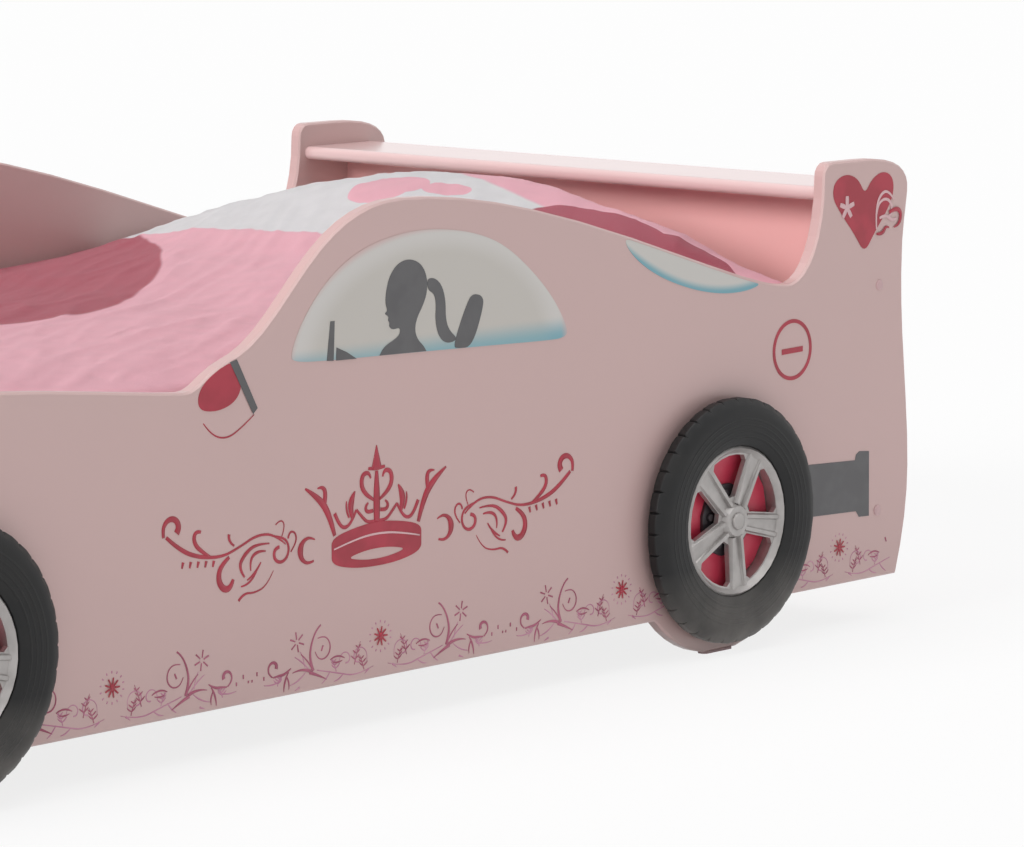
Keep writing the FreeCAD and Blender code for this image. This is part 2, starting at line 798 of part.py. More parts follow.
def beam_hanger(face_x, inward):
    """A bent steel shoe, screwed to a cross board, that the beam's end drops into."""
    gap = slot_clearance
    low = base_height - beam_height - gap
    side = beam_thickness / 2 + gap
    depth = 30.0
    x0, x1 = sorted((face_x, face_x + inward * hanger_sheet))
    back = box(x0, x1, -side - hanger_flange, side + hanger_flange, low - hanger_sheet, base_height - 8)
    x0, x1 = sorted((face_x, face_x + inward * depth))
    cheeks = [box(x0, x1, -side - hanger_sheet, -side, low - hanger_sheet, base_height - 8),
              box(x0, x1, side, side + hanger_sheet, low - hanger_sheet, base_height - 8)]
    floor = box(x0, x1, -side - hanger_sheet, side + hanger_sheet, low - hanger_sheet, low)
    return back.fuse(cheeks + [floor]).removeSplitter()


def centre_leg(x):
    """A square leg under the beam, tapered to its foot."""
    top = base_height - beam_height
    foot = glide_thickness
    half = leg_size / 2
    return stacked([[Vector(x - size, -size, z), Vector(x + size, -size, z),
                     Vector(x + size, size, z), Vector(x - size, size, z)]
                    for z, size in ((foot, half * 0.72), (top - 40, half), (top, half))])


def leg_glide(x):
    return peg(leg_size * 0.3, Vector(x, 0, 0), Vector(0, 0, glide_thickness), 16)


# ---- Angle brackets of the nose and the spoiler ----
def angle_bracket(corner, side):
    """A bent steel angle: one leg on the cross board, one on the side panel."""
    y0, y1 = sorted((corner.y, corner.y - side * bracket_leg))
    face = box(corner.x, corner.x + bracket_sheet, y0, y1, corner.z, corner.z + bracket_width)
    y0, y1 = sorted((corner.y, corner.y - side * bracket_sheet))
    wing = box(corner.x, corner.x + bracket_leg, y0, y1, corner.z, corner.z + bracket_width)
    return face.fuse(wing).removeSplitter()


def nose_brackets():
    back_x = front_x + bumper_inset + board
    return [angle_bracket(Vector(back_x, side * inner_y, z), side)
            for side in (-1, 1) for z in (sill_height + bumper_lift + bracket_low_lift,
                                          bonnet_line(back_x) - bracket_high_drop)]


def bonnet_cleats():
    """Wooden strips under the bonnet board, glued to the footboard's front."""
    x1 = footboard_x - board
    x0 = x1 - cleat_depth
    top = bonnet_line(x0, bonnet_sink() + cleat_gap)
    return [box(x0, x1, y - cleat_length / 2, y + cleat_length / 2, top - cleat_height, top)
            for y in (-inner_width / 4, inner_width / 4)]


# ---- Bedding ----
def rounded_rectangle(mid_x, mid_y, z, half_x, half_y, corner):
    """A level rectangle whose corners are quarter arcs."""
    edges = []
    for quarter in range(4):
        a = math.radians(90 * quarter)
        sx = 1 if quarter in (0, 3) else -1
        sy = 1 if quarter in (0, 1) else -1
        hub = Vector(mid_x + sx * (half_x - corner), mid_y + sy * (half_y - corner), z)
        start = hub + Vector(math.cos(a), math.sin(a), 0) * corner
        middle = hub + Vector(math.cos(a + math.pi / 4), math.sin(a + math.pi / 4), 0) * corner
        end = hub + Vector(math.cos(a + math.pi / 2), math.sin(a + math.pi / 2), 0) * corner
        edges.append(arc(start, middle, end))
        next_a = math.radians(90 * (quarter + 1))
        nx = 1 if (quarter + 1) % 4 in (0, 3) else -1
        ny = 1 if (quarter + 1) % 4 in (0, 1) else -1
        next_hub = Vector(mid_x + nx * (half_x - corner), mid_y + ny * (half_y - corner), z)
        edges.append(line(end, next_hub + Vector(math.cos(next_a), math.sin(next_a), 0) * corner))
    return Part.Wire(edges)


def mattress():
    half_x = mattress_length / 2
    half_y = mattress_width / 2
    mid_x = (headboard_x + footboard_x) / 2
    outline = rounded_rectangle(mid_x, 0, mattress_z, half_x, half_y, mattress_corner)
    block = Part.Face(outline).extrude(Vector(0, 0, mattress_thickness))
    return bevelled(block, mattress_edge, lambda e: e.BoundBox.ZLength < 0.1)


pillow_x = spoiler_front_x - pillow_from_spoiler - pillow_depth / 2
pillow_z = mattress_top + soft_clearance


def pillow_outline(z, half_x, half_y, corner):
    """A level outline of the pillow; short runs turn its corners."""
    points = []
    for quarter in range(4):
        sx = 1 if quarter in (0, 3) else -1
        sy = 1 if quarter in (0, 1) else -1
        hub = Vector(pillow_x + sx * (half_x - corner), pillow_shift + sy * (half_y - corner), z)
        for step in range(corner_runs + 1):
            a = math.radians(90 * (quarter + step / corner_runs))
            points.append(hub + Vector(math.cos(a), math.sin(a), 0) * corner)
    return points


def pillow_form(levels, grow):
    """The pillow's form: each level is a share of the height with how far its sides draw in."""
    outlines = []
    for share, inset in levels:
        z = pillow_z + share * pillow_thickness + (grow if share > 0.5 else 0)
        corner = max(pillow_corner - inset * 0.55, 25)
        outlines.append(pillow_outline(z, pillow_depth / 2 - inset + grow, pillow_width / 2 - inset + grow,
                                       corner))
    return stacked(outlines)


upper_levels = ((0.46, 0.0), (0.74, 22.0), (1.0, 100.0))
lower_levels = ((0.0, 90.0), (0.2, 20.0), (0.46, 0.0))


def pillow():
    return pillow_form(lower_levels[:-1] + upper_levels, 0)


def duvet_section(x, near_z, crown_y, crown_z, far_z):
    """A slice across the duvet: flat below, crowned above between its near and far edges."""
    half = inner_y - duvet_margin
    low = mattress_top + soft_clearance
    return Part.Wire([
        line(Vector(x, -half, low), Vector(x, half, low)),
        line(Vector(x, half, low), Vector(x, half, far_z)),
        arc(Vector(x, half, far_z), Vector(x, crown_y, crown_z), Vector(x, -half, near_z)),
        line(Vector(x, -half, near_z), Vector(x, -half, low)),
    ])


def duvet():
    """The duvet: crowned over the mattress and humped over the pillow, hollow beneath the hump."""
    low = mattress_top + soft_clearance
    foot = footboard_x + duvet_foot_gap
    head = spoiler_front_x - duvet_from_spoiler
    flat = low + duvet_crown
    hump = pillow_z + pillow_thickness + duvet_loft
    near = low + duvet_edge
    sections = [
        (foot, near - 8, 0, low + duvet_edge, near - 4),
        (foot + 90, near, 0, flat, near + 6),
        (pillow_x - pillow_depth / 2 - duvet_rise_run, near, 0, flat, near + 14),
        (pillow_x - pillow_depth / 2 - 60, near + 8, pillow_shift / 2, flat + 26, near + 30),
        (pillow_x - pillow_depth / 6, near + 22, pillow_shift, hump, near + 52),
        (pillow_x + pillow_depth / 5, near + 24, pillow_shift, hump, near + 50),
        (head, near + 10, pillow_shift, hump - 62, near + 24),
    ]
    outer = Part.makeLoft([duvet_section(*section) for section in sections], True, True)
    grow = 1.5
    mid = pillow_z + upper_levels[0][0] * pillow_thickness
    well = polygon_prism(pillow_outline(low - 5, pillow_depth / 2 + grow, pillow_width / 2 + grow, pillow_corner),
                         Vector(0, 0, mid - low + 5.5))
    return outer.cut(well).cut(pillow_form(upper_levels, grow))


# ---- Write every piece ----
near_panel = side_panel()
save("side_panel_near", near_panel)
save("side_panel_far", mirrored(near_panel))
save("headboard", headboard())
save("footboard", footboard())
save("bonnet_board", bonnet_board())
save("bumper_board", bumper_board())
save("spoiler_board", spoiler_board())
save_group("spoiler_dowels", spoiler_dowels())
save_group("frame_bolts", frame_bolts())
save_group("barrel_nuts", barrel_nuts())
save_group("bolt_caps", bolt_caps())
save_group("panel_glides", panel_glides())
save_group("nose_brackets", nose_brackets())
save_group("bonnet_cleats", bonnet_cleats())
save_group("tyres", on_each_wheel(tyre()))
save_group("rims", on_each_wheel(rim()))
save_group("backing_discs", on_each_wheel(backing_disc()))
save_group("hub_carriers", on_each_wheel(hub_carrier()))
save_group("hub_caps", on_each_wheel(hub_cap()))
save_group("wheel_screws", [copy for turn in wheel_screw_turns for copy in on_each_wheel(wheel_screw(turn))])
save("slat_rail_near", slat_rail())
save("slat_rail_far", mirrored(slat_rail()))
save_group("rail_screws", rail_screws())
for number, place in enumerate(slat_places(), start=1):
    save("slat_%02d" % number, slat(place))
save_group("slat_tapes", [slat_tape(-tape_offset), slat_tape(tape_offset)])
save("centre_beam", centre_beam())
save_group("beam_hangers", [beam_hanger(headboard_x, -1), beam_hanger(footboard_x, 1)])
leg_places = (-leg_spread, leg_spread)
save("centre_leg_foot", centre_leg(leg_places[0]))
save("centre_leg_head", centre_leg(leg_places[1]))
save_group("leg_glides", [leg_glide(x) for x in leg_places])
save("mattress", mattress())
save("pillow", pillow())
save("duvet", duvet())
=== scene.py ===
import json
import math

import bpy
from mathutils import Matrix, Vector, noise
from mathutils.bvhtree import BVHTree


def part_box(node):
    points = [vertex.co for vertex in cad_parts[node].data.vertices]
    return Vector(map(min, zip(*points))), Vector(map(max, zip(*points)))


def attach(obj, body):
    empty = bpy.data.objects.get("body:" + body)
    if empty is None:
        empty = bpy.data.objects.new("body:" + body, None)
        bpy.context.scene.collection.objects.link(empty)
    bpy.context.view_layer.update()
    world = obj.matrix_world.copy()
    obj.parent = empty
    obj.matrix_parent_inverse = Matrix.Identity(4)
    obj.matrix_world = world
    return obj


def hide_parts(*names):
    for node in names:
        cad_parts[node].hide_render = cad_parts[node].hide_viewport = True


# A child's bed shaped like a car. Everything is in metres: x runs towards the headboard,
# y towards the far side, z up. The panels, boards, wheels and slats come from the packed
# model; the bedding and the prints on the panels are made here.

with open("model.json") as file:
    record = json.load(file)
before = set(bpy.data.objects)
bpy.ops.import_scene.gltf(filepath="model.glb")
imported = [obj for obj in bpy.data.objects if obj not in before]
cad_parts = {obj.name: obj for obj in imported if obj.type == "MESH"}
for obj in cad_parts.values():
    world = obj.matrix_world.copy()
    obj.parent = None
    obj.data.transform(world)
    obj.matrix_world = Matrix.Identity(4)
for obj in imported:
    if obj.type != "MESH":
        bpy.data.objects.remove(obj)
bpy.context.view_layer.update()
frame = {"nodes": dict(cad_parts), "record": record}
nodes = frame["nodes"]
scene = bpy.context.scene


# ---- Everyday helpers ----
def tint(red, green, blue):
    """A colour given in steps of 0 to 255, as linear light."""
    return tuple(((c / 255 + 0.055) / 1.055) ** 2.4 if c > 10 else c / 255 / 12.92
                 for c in (red, green, blue)) + (1.0,)


def select_only(*pieces):
    bpy.ops.object.select_all(action="DESELECT")
    for piece in pieces:
        piece.select_set(True)
    bpy.context.view_layer.objects.active = pieces[0]


def in_edit_mode(piece, *steps):
    """Runs edit-mode steps on all of a piece's faces."""
    select_only(piece)
    bpy.ops.object.mode_set(mode="EDIT")
    bpy.ops.mesh.select_all(action="SELECT")
    for step in steps:
        step()
    bpy.ops.object.mode_set(mode="OBJECT")


def apply_all(piece):
    select_only(piece)
    for modifier in list(piece.modifiers):
        bpy.ops.object.modifier_apply(modifier=modifier.name)


def smooth(piece, degrees):
    select_only(piece)
    bpy.ops.object.shade_smooth_by_angle(angle=math.radians(degrees))


def joined(name, pieces):
    """One piece out of several."""
    select_only(*pieces)
    if len(pieces) > 1:
        bpy.ops.object.join()
    pieces[0].name = name
    pieces[0].data.name = name
    return pieces[0]


# ---- Finishes ----
class Finish:
    """A material being mixed: one surface and the nodes that feed it."""

    def __init__(self, name, roughness, **surface):
        self.material = bpy.data.materials.new(name)
        self.material.use_nodes = True
        self.tree = self.material.node_tree
        self.surface = self.tree.nodes["Principled BSDF"]
        self.surface.inputs["Roughness"].default_value = roughness
        for key, value in surface.items():
            self.surface.inputs[key.replace("_", " ")].default_value = value
        self.place = self.node("ShaderNodeTexCoord").outputs["Object"]

    def node(self, kind, **settings):
        made = self.tree.nodes.new(kind)
        for key, value in settings.items():
            setattr(made, key, value)
        return made

    def wire(self, source, target):
        self.tree.links.new(source, target)

    def math(self, operation, first, second=None, third=None, clamp=False):
        made = self.node("ShaderNodeMath", operation=operation, use_clamp=clamp)
        for socket, value in zip(made.inputs, (first, second, third)):
            if value is None:
                continue
            if isinstance(value, (int, float)):
                socket.default_value = value
            else:
                self.wire(value, socket)
        return made.outputs[0]

    def mapped(self, scale=(1, 1, 1), turn=(0, 0, 0)):
        made = self.node("ShaderNodeMapping")
        made.inputs["Rotation"].default_value = turn
        made.inputs["Scale"].default_value = scale
        self.wire(self.place, made.inputs["Vector"])
        return made.outputs[0]

    def blend(self, share, first, second):
        """A colour between two others."""
        made = self.node("ShaderNodeMix", data_type="RGBA")
        for socket, value in ((made.inputs[0], share), (made.inputs[6], first), (made.inputs[7], second)):
            if isinstance(value, (int, float, tuple)):
                socket.default_value = value
            else:
                self.wire(value, socket)
        return made.outputs[2]

    def step(self, value, low, high, start=0.0, end=1.0):
        made = self.node("ShaderNodeMapRange", interpolation_type="SMOOTHSTEP")
        for socket, number in zip(list(made.inputs)[1:5], (low, high, start, end)):
            socket.default_value = number
        self.wire(value, made.inputs[0])
        return made.outputs[0]

    def group(self, tree, **values):
        made = self.node("ShaderNodeGroup", node_tree=tree)
        for key, value in values.items():
            socket = made.inputs[key.replace("_", " ")]
            if isinstance(value, (int, float, tuple)):
                socket.default_value = value
            else:
                self.wire(value, socket)
        return made

    def bump(self, height, depth):
        made = self.node("ShaderNodeBump")
        made.inputs["Strength"].default_value = 1.0
        made.inputs["Distance"].default_value = depth
        self.wire(height, made.inputs["Height"])
        self.wire(made.outputs["Normal"], self.surface.inputs["Normal"])

    def colour(self, source):
        if isinstance(source, tuple):
            self.surface.inputs["Base Color"].default_value = source
        else:
            self.wire(source, self.surface.inputs["Base Color"])

    def rough(self, source):
        self.wire(source, self.surface.inputs["Roughness"])


def effect(name, inputs, outputs):
    """An empty shader group with named sockets."""
    tree = bpy.data.node_groups.new(name, "ShaderNodeTree")
    for title, kind, value in inputs:
        socket = tree.interface.new_socket(title, in_out="INPUT", socket_type=kind)
        if value is not None:
            socket.default_value = value
    for title, kind in outputs:
        tree.interface.new_socket(title, in_out="OUTPUT", socket_type=kind)
    return tree, tree.nodes.new("NodeGroupInput").outputs, tree.nodes.new("NodeGroupOutput").inputs


def group_node(tree, kind, feeds=(), **settings):
    """A node inside a group, with what feeds its sockets."""
    made = tree.nodes.new(kind)
    for key, value in settings.items():
        setattr(made, key, value)
    for socket, value in feeds:
        if isinstance(value, (int, float, tuple)):
            made.inputs[socket].default_value = value
        else:
            tree.links.new(value, made.inputs[socket])
    return made


def make_lacquer():
    """Sprayed lacquer: faint orange peel, cloudy tone."""
    tree, into, out = effect("lacquer", [("Vector", "NodeSocketVector", None),
                                         ("Colour", "NodeSocketColor", (1, 1, 1, 1)),
                                         ("Cloud", "NodeSocketFloat", 0.04)],
                             [("Colour", "NodeSocketColor"), ("Height", "NodeSocketFloat"),
                              ("Roughness", "NodeSocketFloat")])
    peel = group_node(tree, "ShaderNodeTexNoise", [("Vector", into["Vector"]), ("Scale", 260.0),
                                                   ("Detail", 2.0)])
    cloud = group_node(tree, "ShaderNodeTexNoise", [("Vector", into["Vector"]), ("Scale", 2.6),
                                                    ("Detail", 4.0)])
    lift = group_node(tree, "ShaderNodeMath", [(0, cloud.outputs[0]), (1, 0.5)], operation="SUBTRACT")
    lift = group_node(tree, "ShaderNodeMath", [(0, lift.outputs[0]), (1, into["Cloud"]), (2, 1.0)],
                      operation="MULTIPLY_ADD")
    shade = group_node(tree, "ShaderNodeVectorMath", [(0, into["Colour"])], operation="SCALE")
    tree.links.new(lift.outputs[0], shade.inputs["Scale"])
    gloss = group_node(tree, "ShaderNodeMapRange", [(0, cloud.outputs[0]), (1, 0.3), (2, 0.7),
                                                    (3, 0.30), (4, 0.42)])
    tree.links.new(shade.outputs[0], out["Colour"])
    tree.links.new(peel.outputs[0], out["Height"])
    tree.links.new(gloss.outputs[0], out["Roughness"])
    return tree


def make_wood():
    """Planed softwood: long rings, fine pores along x after mapping."""
    tree, into, out = effect("wood_grain", [("Vector", "NodeSocketVector", None),
                                            ("Pale", "NodeSocketColor", (1, 1, 1, 1)),
                                            ("Dark", "NodeSocketColor", (0.5, 0.3, 0.2, 1))],
                             [("Colour", "NodeSocketColor"), ("Height", "NodeSocketFloat")])
    bend = group_node(tree, "ShaderNodeTexNoise", [("Vector", into["Vector"]), ("Scale", 2.0),
                                                   ("Detail", 2.0)])
    rings = group_node(tree, "ShaderNodeTexWave", [("Vector", into["Vector"]), ("Scale", 7.0),
                                                   ("Distortion", 5.0), ("Detail", 2.0),
                                                   ("Detail Scale", 1.5)], bands_direction="Y")
    pores = group_node(tree, "ShaderNodeTexNoise", [("Vector", into["Vector"]), ("Scale", 60.0),
                                                    ("Detail", 3.0)])
    share = group_node(tree, "ShaderNodeMath", [(0, rings.outputs[1]), (1, 0.6), (2, -0.1)],
                       operation="MULTIPLY_ADD")
    share = group_node(tree, "ShaderNodeMath", [(0, pores.outputs[0]), (1, 0.35), (2, share.outputs[0])],
                       operation="MULTIPLY_ADD", use_clamp=True)
    share = group_node(tree, "ShaderNodeMath", [(0, bend.outputs[0]), (1, share.outputs[0])],
                       operation="MULTIPLY", use_clamp=True)
    tone = group_node(tree, "ShaderNodeMix", [(0, share.outputs[0]), (6, into["Pale"]), (7, into["Dark"])],
                      data_type="RGBA")
    tree.links.new(tone.outputs[2], out["Colour"])
    tree.links.new(pores.outputs[0], out["Height"])
    return tree


def make_weave():
    """Plain-woven cotton: warp and weft ribs, slubs, and a soft mottle."""
    tree, into, out = effect("weave", [("Vector", "NodeSocketVector", None),
                                       ("Threads", "NodeSocketFloat", 900.0),
                                       ("Colour", "NodeSocketColor", (1, 1, 1, 1))],
                             [("Colour", "NodeSocketColor"), ("Height", "NodeSocketFloat")])
    warp = group_node(tree, "ShaderNodeTexWave", [("Vector", into["Vector"]), ("Scale", into["Threads"]),
                                                  ("Distortion", 0.6)], bands_direction="X")
    weft = group_node(tree, "ShaderNodeTexWave", [("Vector", into["Vector"]), ("Scale", into["Threads"]),
                                                  ("Distortion", 0.6)], bands_direction="Y")
    cross = group_node(tree, "ShaderNodeMath", [(0, warp.outputs[1]), (1, weft.outputs[1])],
                       operation="MULTIPLY")
    mottle = group_node(tree, "ShaderNodeTexNoise", [("Vector", into["Vector"]), ("Scale", 34.0),
                                                     ("Detail", 5.0)])
    lift = group_node(tree, "ShaderNodeMapRange", [(0, mottle.outputs[0]), (1, 0.25), (2, 0.75),
                                                   (3, 0.95), (4, 1.04)])
    shade = group_node(tree, "ShaderNodeVectorMath", [(0, into["Colour"])], operation="SCALE")
    tree.links.new(lift.outputs[0], shade.inputs["Scale"])
    height = group_node(tree, "ShaderNodeMath", [(0, mottle.outputs[0]), (1, 2.0), (2, cross.outputs[0])],
                        operation="MULTIPLY_ADD")
    tree.links.new(shade.outputs[0], out["Colour"])
    tree.links.new(height.outputs[0], out["Height"])
    return tree


def make_moulded():
    """Moulded plastic: fine grain and a few rubbed patches."""
    tree, into, out = effect("moulded_grain", [("Vector", "NodeSocketVector", None),
                                               ("Colour", "NodeSocketColor", (1, 1, 1, 1)),
                                               ("Rubbed", "NodeSocketColor", (1, 1, 1, 1)),
                                               ("Gloss", "NodeSocketFloat", 0.4)],
                             [("Colour", "NodeSocketColor"), ("Height", "NodeSocketFloat"),
                              ("Roughness", "NodeSocketFloat")])
    grain = group_node(tree, "ShaderNodeTexNoise", [("Vector", into["Vector"]), ("Scale", 900.0),
                                                    ("Detail", 2.0)])
    patch = group_node(tree, "ShaderNodeTexNoise", [("Vector", into["Vector"]), ("Scale", 18.0),
                                                    ("Detail", 6.0)])
    rub = group_node(tree, "ShaderNodeMapRange", [(0, patch.outputs[0]), (1, 0.48), (2, 0.75), (3, 0.0),
                                                  (4, 0.6)])
    tone = group_node(tree, "ShaderNodeMix", [(0, rub.outputs[0]), (6, into["Colour"]),
                                              (7, into["Rubbed"])], data_type="RGBA")
    gloss = group_node(tree, "ShaderNodeMath", [(0, rub.outputs[0]), (1, 0.15), (2, into["Gloss"])],
                       operation="MULTIPLY_ADD")
    tree.links.new(tone.outputs[2], out["Colour"])
    tree.links.new(grain.outputs[0], out["Height"])
    tree.links.new(gloss.outputs[0], out["Roughness"])
    return tree


def make_dust():
    """Dust that settles low down, in speckled patches."""
    tree, into, out = effect("floor_dust", [("Vector", "NodeSocketVector", None),
                                            ("Colour", "NodeSocketColor", (1, 1, 1, 1)),
                                            ("Dust", "NodeSocketColor", (0.6, 0.56, 0.52, 1)),
                                            ("Reach", "NodeSocketFloat", 0.05)],
                             [("Colour", "NodeSocketColor")])
    parts = group_node(tree, "ShaderNodeSeparateXYZ", [("Vector", into["Vector"])])
    speck = group_node(tree, "ShaderNodeTexNoise", [("Vector", into["Vector"]), ("Scale", 22.0),
                                                    ("Detail", 6.0)])
    low = group_node(tree, "ShaderNodeMapRange", [(0, parts.outputs[2]), (1, 0.0), (2, into["Reach"]),
                                                  (3, 0.5), (4, 0.0)])
    share = group_node(tree, "ShaderNodeMath", [(0, low.outputs[0]), (1, speck.outputs[0])],
                       operation="MULTIPLY", use_clamp=True)
    tone = group_node(tree, "ShaderNodeMix", [(0, share.outputs[0]), (6, into["Colour"]),
                                              (7, into["Dust"])], data_type="RGBA")
    tree.links.new(tone.outputs[2], out["Colour"])
    return tree


lacquer = make_lacquer()
wood_grain = make_wood()
weave = make_weave()
moulded_grain = make_moulded()
floor_dust = make_dust()


def spray(finish, colour, peel):
    """Coats a finish with cloudy lacquer that has gathered some dust by the floor."""
    skin = finish.group(lacquer, Vector=finish.place, Colour=colour, Cloud=0.05)
    dusty = finish.group(floor_dust, Vector=finish.place, Colour=skin.outputs["Colour"])
    finish.colour(dusty.outputs["Colour"])
    finish.rough(skin.outputs["Roughness"])
    finish.bump(skin.outputs["Height"], peel)
    return finish.material


def lacquered(name, colour, coat=0.12, peel=0.00004):
    return spray(Finish(name, 0.36, Coat_Weight=coat, Coat_Roughness=0.18), colour, peel)


def panel_with_shaded_edges():
    """The side panels' lacquer, with painted shade on their cut edges: a darker pink where a face does not
    look along y.
    """
    finish = Finish("panel_painted_edge_shade", 0.36, Coat_Weight=0.12, Coat_Roughness=0.18)
    facing = finish.node("ShaderNodeSeparateXYZ")
    finish.wire(finish.node("ShaderNodeTexCoord").outputs["Normal"], facing.inputs[0])
    # Painted shade: the cut edges, whose faces do not look along y, get the darker pink tint(196, 160,
    # 158).
    band = finish.step(finish.math("ABSOLUTE", facing.outputs[1]), 0.35, 0.9, 1, 0)
    return spray(finish, finish.blend(band, panel_base, tint(196, 160, 158)), 0.00004)


def moulded(name, colour, rubbed, gloss=0.42, depth=0.00006, **surface):
    finish = Finish(name, gloss, **surface)
    skin = finish.group(moulded_grain, Vector=finish.place, Colour=colour, Rubbed=rubbed, Gloss=gloss)
    finish.colour(skin.outputs["Colour"])
    finish.rough(skin.outputs["Roughness"])
    finish.bump(skin.outputs["Height"], depth)
    return finish.material


def planed(name, pale, dark, lengthwise):
    """Bare wood; lengthwise is the axis that the grain runs along."""
    finish = Finish(name, 0.62)
    stretch = {"x": (0.8, 9.0, 9.0), "y": (9.0, 0.8, 9.0)}[lengthwise]
    turn = (0, 0, 0) if lengthwise == "x" else (0, 0, math.radians(90))
    grain = finish.group(wood_grain, Vector=finish.mapped(stretch, turn=turn), Pale=pale, Dark=dark)
    finish.colour(grain.outputs["Colour"])
    finish.bump(grain.outputs["Height"], 0.0002)
    return finish.material


def tyre_rubber():
    """Matt black rubber with moulded rings on the sidewall and greyed blocks."""
    finish = Finish("tyre_rubber", 0.62, Specular_IOR_Level=0.35)
    parts = finish.node("ShaderNodeSeparateXYZ")
    finish.wire(finish.place, parts.inputs[0])
    reach = None
    for axle in axle_places:
        dx = finish.math("SUBTRACT", parts.outputs[0], axle[0])
        dz = finish.math("SUBTRACT", parts.outputs[2], axle[1])
        square = finish.math("ADD", finish.math("MULTIPLY", dx, dx), finish.math("MULTIPLY", dz, dz))
        reach = square if reach is None else finish.math("MINIMUM", reach, square)
    radius = finish.math("SQRT", reach)
    ring_spacing, wall_inside, wall_outside, fade = 0.0075, 0.100, 0.132, 0.004
    ring = finish.math("SINE", finish.math("MULTIPLY", radius, 2 * math.pi / ring_spacing))
    only_wall = finish.math("MULTIPLY", finish.step(radius, wall_inside, wall_inside + fade),
                            finish.step(radius, wall_outside - fade, wall_outside, 1, 0))
    ring = finish.math("MULTIPLY", finish.step(ring, 0.2, 0.9), only_wall)
    skin = finish.group(moulded_grain, Vector=finish.place, Colour=tint(24, 24, 25),
                        Rubbed=tint(44, 43, 42), Gloss=0.5)
    dusty = finish.group(floor_dust, Vector=finish.place, Colour=skin.outputs["Colour"], Reach=0.12)
    finish.colour(dusty.outputs["Colour"])
    finish.rough(skin.outputs["Roughness"])
    finish.bump(finish.math("MULTIPLY_ADD", ring, 6.0, skin.outputs["Height"]), 0.00012)
    return finish.material


def rim_metal():
    """Vacuum-plated silver on plastic: bright, faintly rippled."""
    finish = Finish("rim_silver", 0.36, Metallic=0.5)
    ripple = finish.node("ShaderNodeTexNoise")
    ripple.inputs["Scale"].default_value = 40.0
    finish.wire(finish.place, ripple.inputs["Vector"])
    finish.colour(finish.blend(finish.step(ripple.outputs[0], 0.3, 0.7), tint(168, 164, 162),
                               tint(186, 182, 180)))
    finish.rough(finish.step(ripple.outputs[0], 0.3, 0.7, 0.30, 0.42))
    finish.bump(ripple.outputs[0], 0.0001)
    return finish.material


def webbing_cloth():
    finish = Finish("webbing", 0.8)
    cloth = finish.group(weave, Vector=finish.place, Threads=300.0, Colour=tint(222, 218, 208))
    finish.colour(cloth.outputs["Colour"])
    finish.bump(cloth.outputs["Height"], 0.0003)
    return finish.material


tyre_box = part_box("tyres")
wheel_z = (tyre_box[0].z + tyre_box[1].z) / 2
wheel_half = (tyre_box[1].z - tyre_box[0].z) / 2
axle_places = [(tyre_box[0].x + wheel_half, wheel_z), (tyre_box[1].x - wheel_half, wheel_z)]

panel_base = tint(220, 188, 185)
finishes = {
    "panel_pink": panel_with_shaded_edges(),
    "board_pink": lacquered("board_pink", tint(242, 186, 183)),
    "gloss_pink": lacquered("gloss_pink", tint(214, 180, 179), coat=0.8, peel=0.00002),
    "beech": planed("beech", tint(222, 184, 140), tint(176, 126, 84), "x"),
    "steel": moulded("steel", tint(176, 176, 178), tint(140, 140, 142), gloss=0.3, Metallic=0.9),
    "cap_plastic": moulded("cap_plastic", tint(214, 178, 180), tint(228, 198, 198)),
    "glide_plastic": moulded("glide_plastic", tint(206, 176, 178), tint(190, 160, 162)),
    "pine": planed("pine", tint(236, 208, 160), tint(200, 152, 96), "y"),
    "webbing": webbing_cloth(),
    "tyre_black": tyre_rubber(),
    "rim_silver": rim_metal(),
    "crimson_plastic": moulded("crimson_plastic", tint(226, 70, 96), tint(232, 104, 124), gloss=0.35),
    "dark_plastic": moulded("dark_plastic", tint(62, 56, 60), tint(96, 88, 92)),
}
long_grain = planed("pine_lengthwise", tint(236, 208, 160), tint(200, 152, 96), "x")

node_slots = {part["node"]: part["material_slot"] for part in frame["record"]["subparts"]}
soft_nodes = ("mattress", "pillow", "duvet")
lengthwise_nodes = ("slat_rail_near", "slat_rail_far", "centre_beam")
for node, piece in nodes.items():
    if node in soft_nodes:
        continue
    chosen = long_grain if node in lengthwise_nodes else finishes[node_slots[node]]
    piece.data.materials.clear()
    piece.data.materials.append(chosen)


def make_rounder():
    """A modifier tree that shades every face of a piece smooth."""
    tree = bpy.data.node_groups.new("rounder", "GeometryNodeTree")
    tree.interface.new_socket("Geometry", in_out="INPUT", socket_type="NodeSocketGeometry")
    tree.interface.new_socket("Geometry", in_out="OUTPUT", socket_type="NodeSocketGeometry")
    shading = tree.nodes.new("GeometryNodeSetShadeSmooth")
    tree.links.new(tree.nodes.new("NodeGroupInput").outputs[0], shading.inputs["Geometry"])
    tree.links.new(shading.outputs[0], tree.nodes.new("NodeGroupOutput").inputs[0])
    return tree


rounder = make_rounder()


def soften(node, width, degrees=30, runs=2):
    """Rounds a moulded piece's edges a little, where its faces meet at more than an angle."""
    piece = nodes[node]
    piece.modifiers.new("weld", "WELD").merge_threshold = 0.00002
    edge = piece.modifiers.new("edge", "BEVEL")
    edge.width = width
    edge.segments = runs
    edge.limit_method = "ANGLE"
    edge.angle_limit = math.radians(degrees)
    piece.modifiers.new("rounder", "NODES").node_group = rounder
    piece.modifiers.new("flats", "WEIGHTED_NORMAL")


for moulding, radius in (("rims", 0.0014), ("tyres", 0.0016), ("hub_caps", 0.0008), ("bolt_caps", 0.0004)):
    soften(moulding, radius)


# ---- Prints on the panels ----
near_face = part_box("side_panel_near")[0].y
print_lift = 0.00035
print_body = 0.0004
print_layer = 0.0005
pen_flatness = 0.02


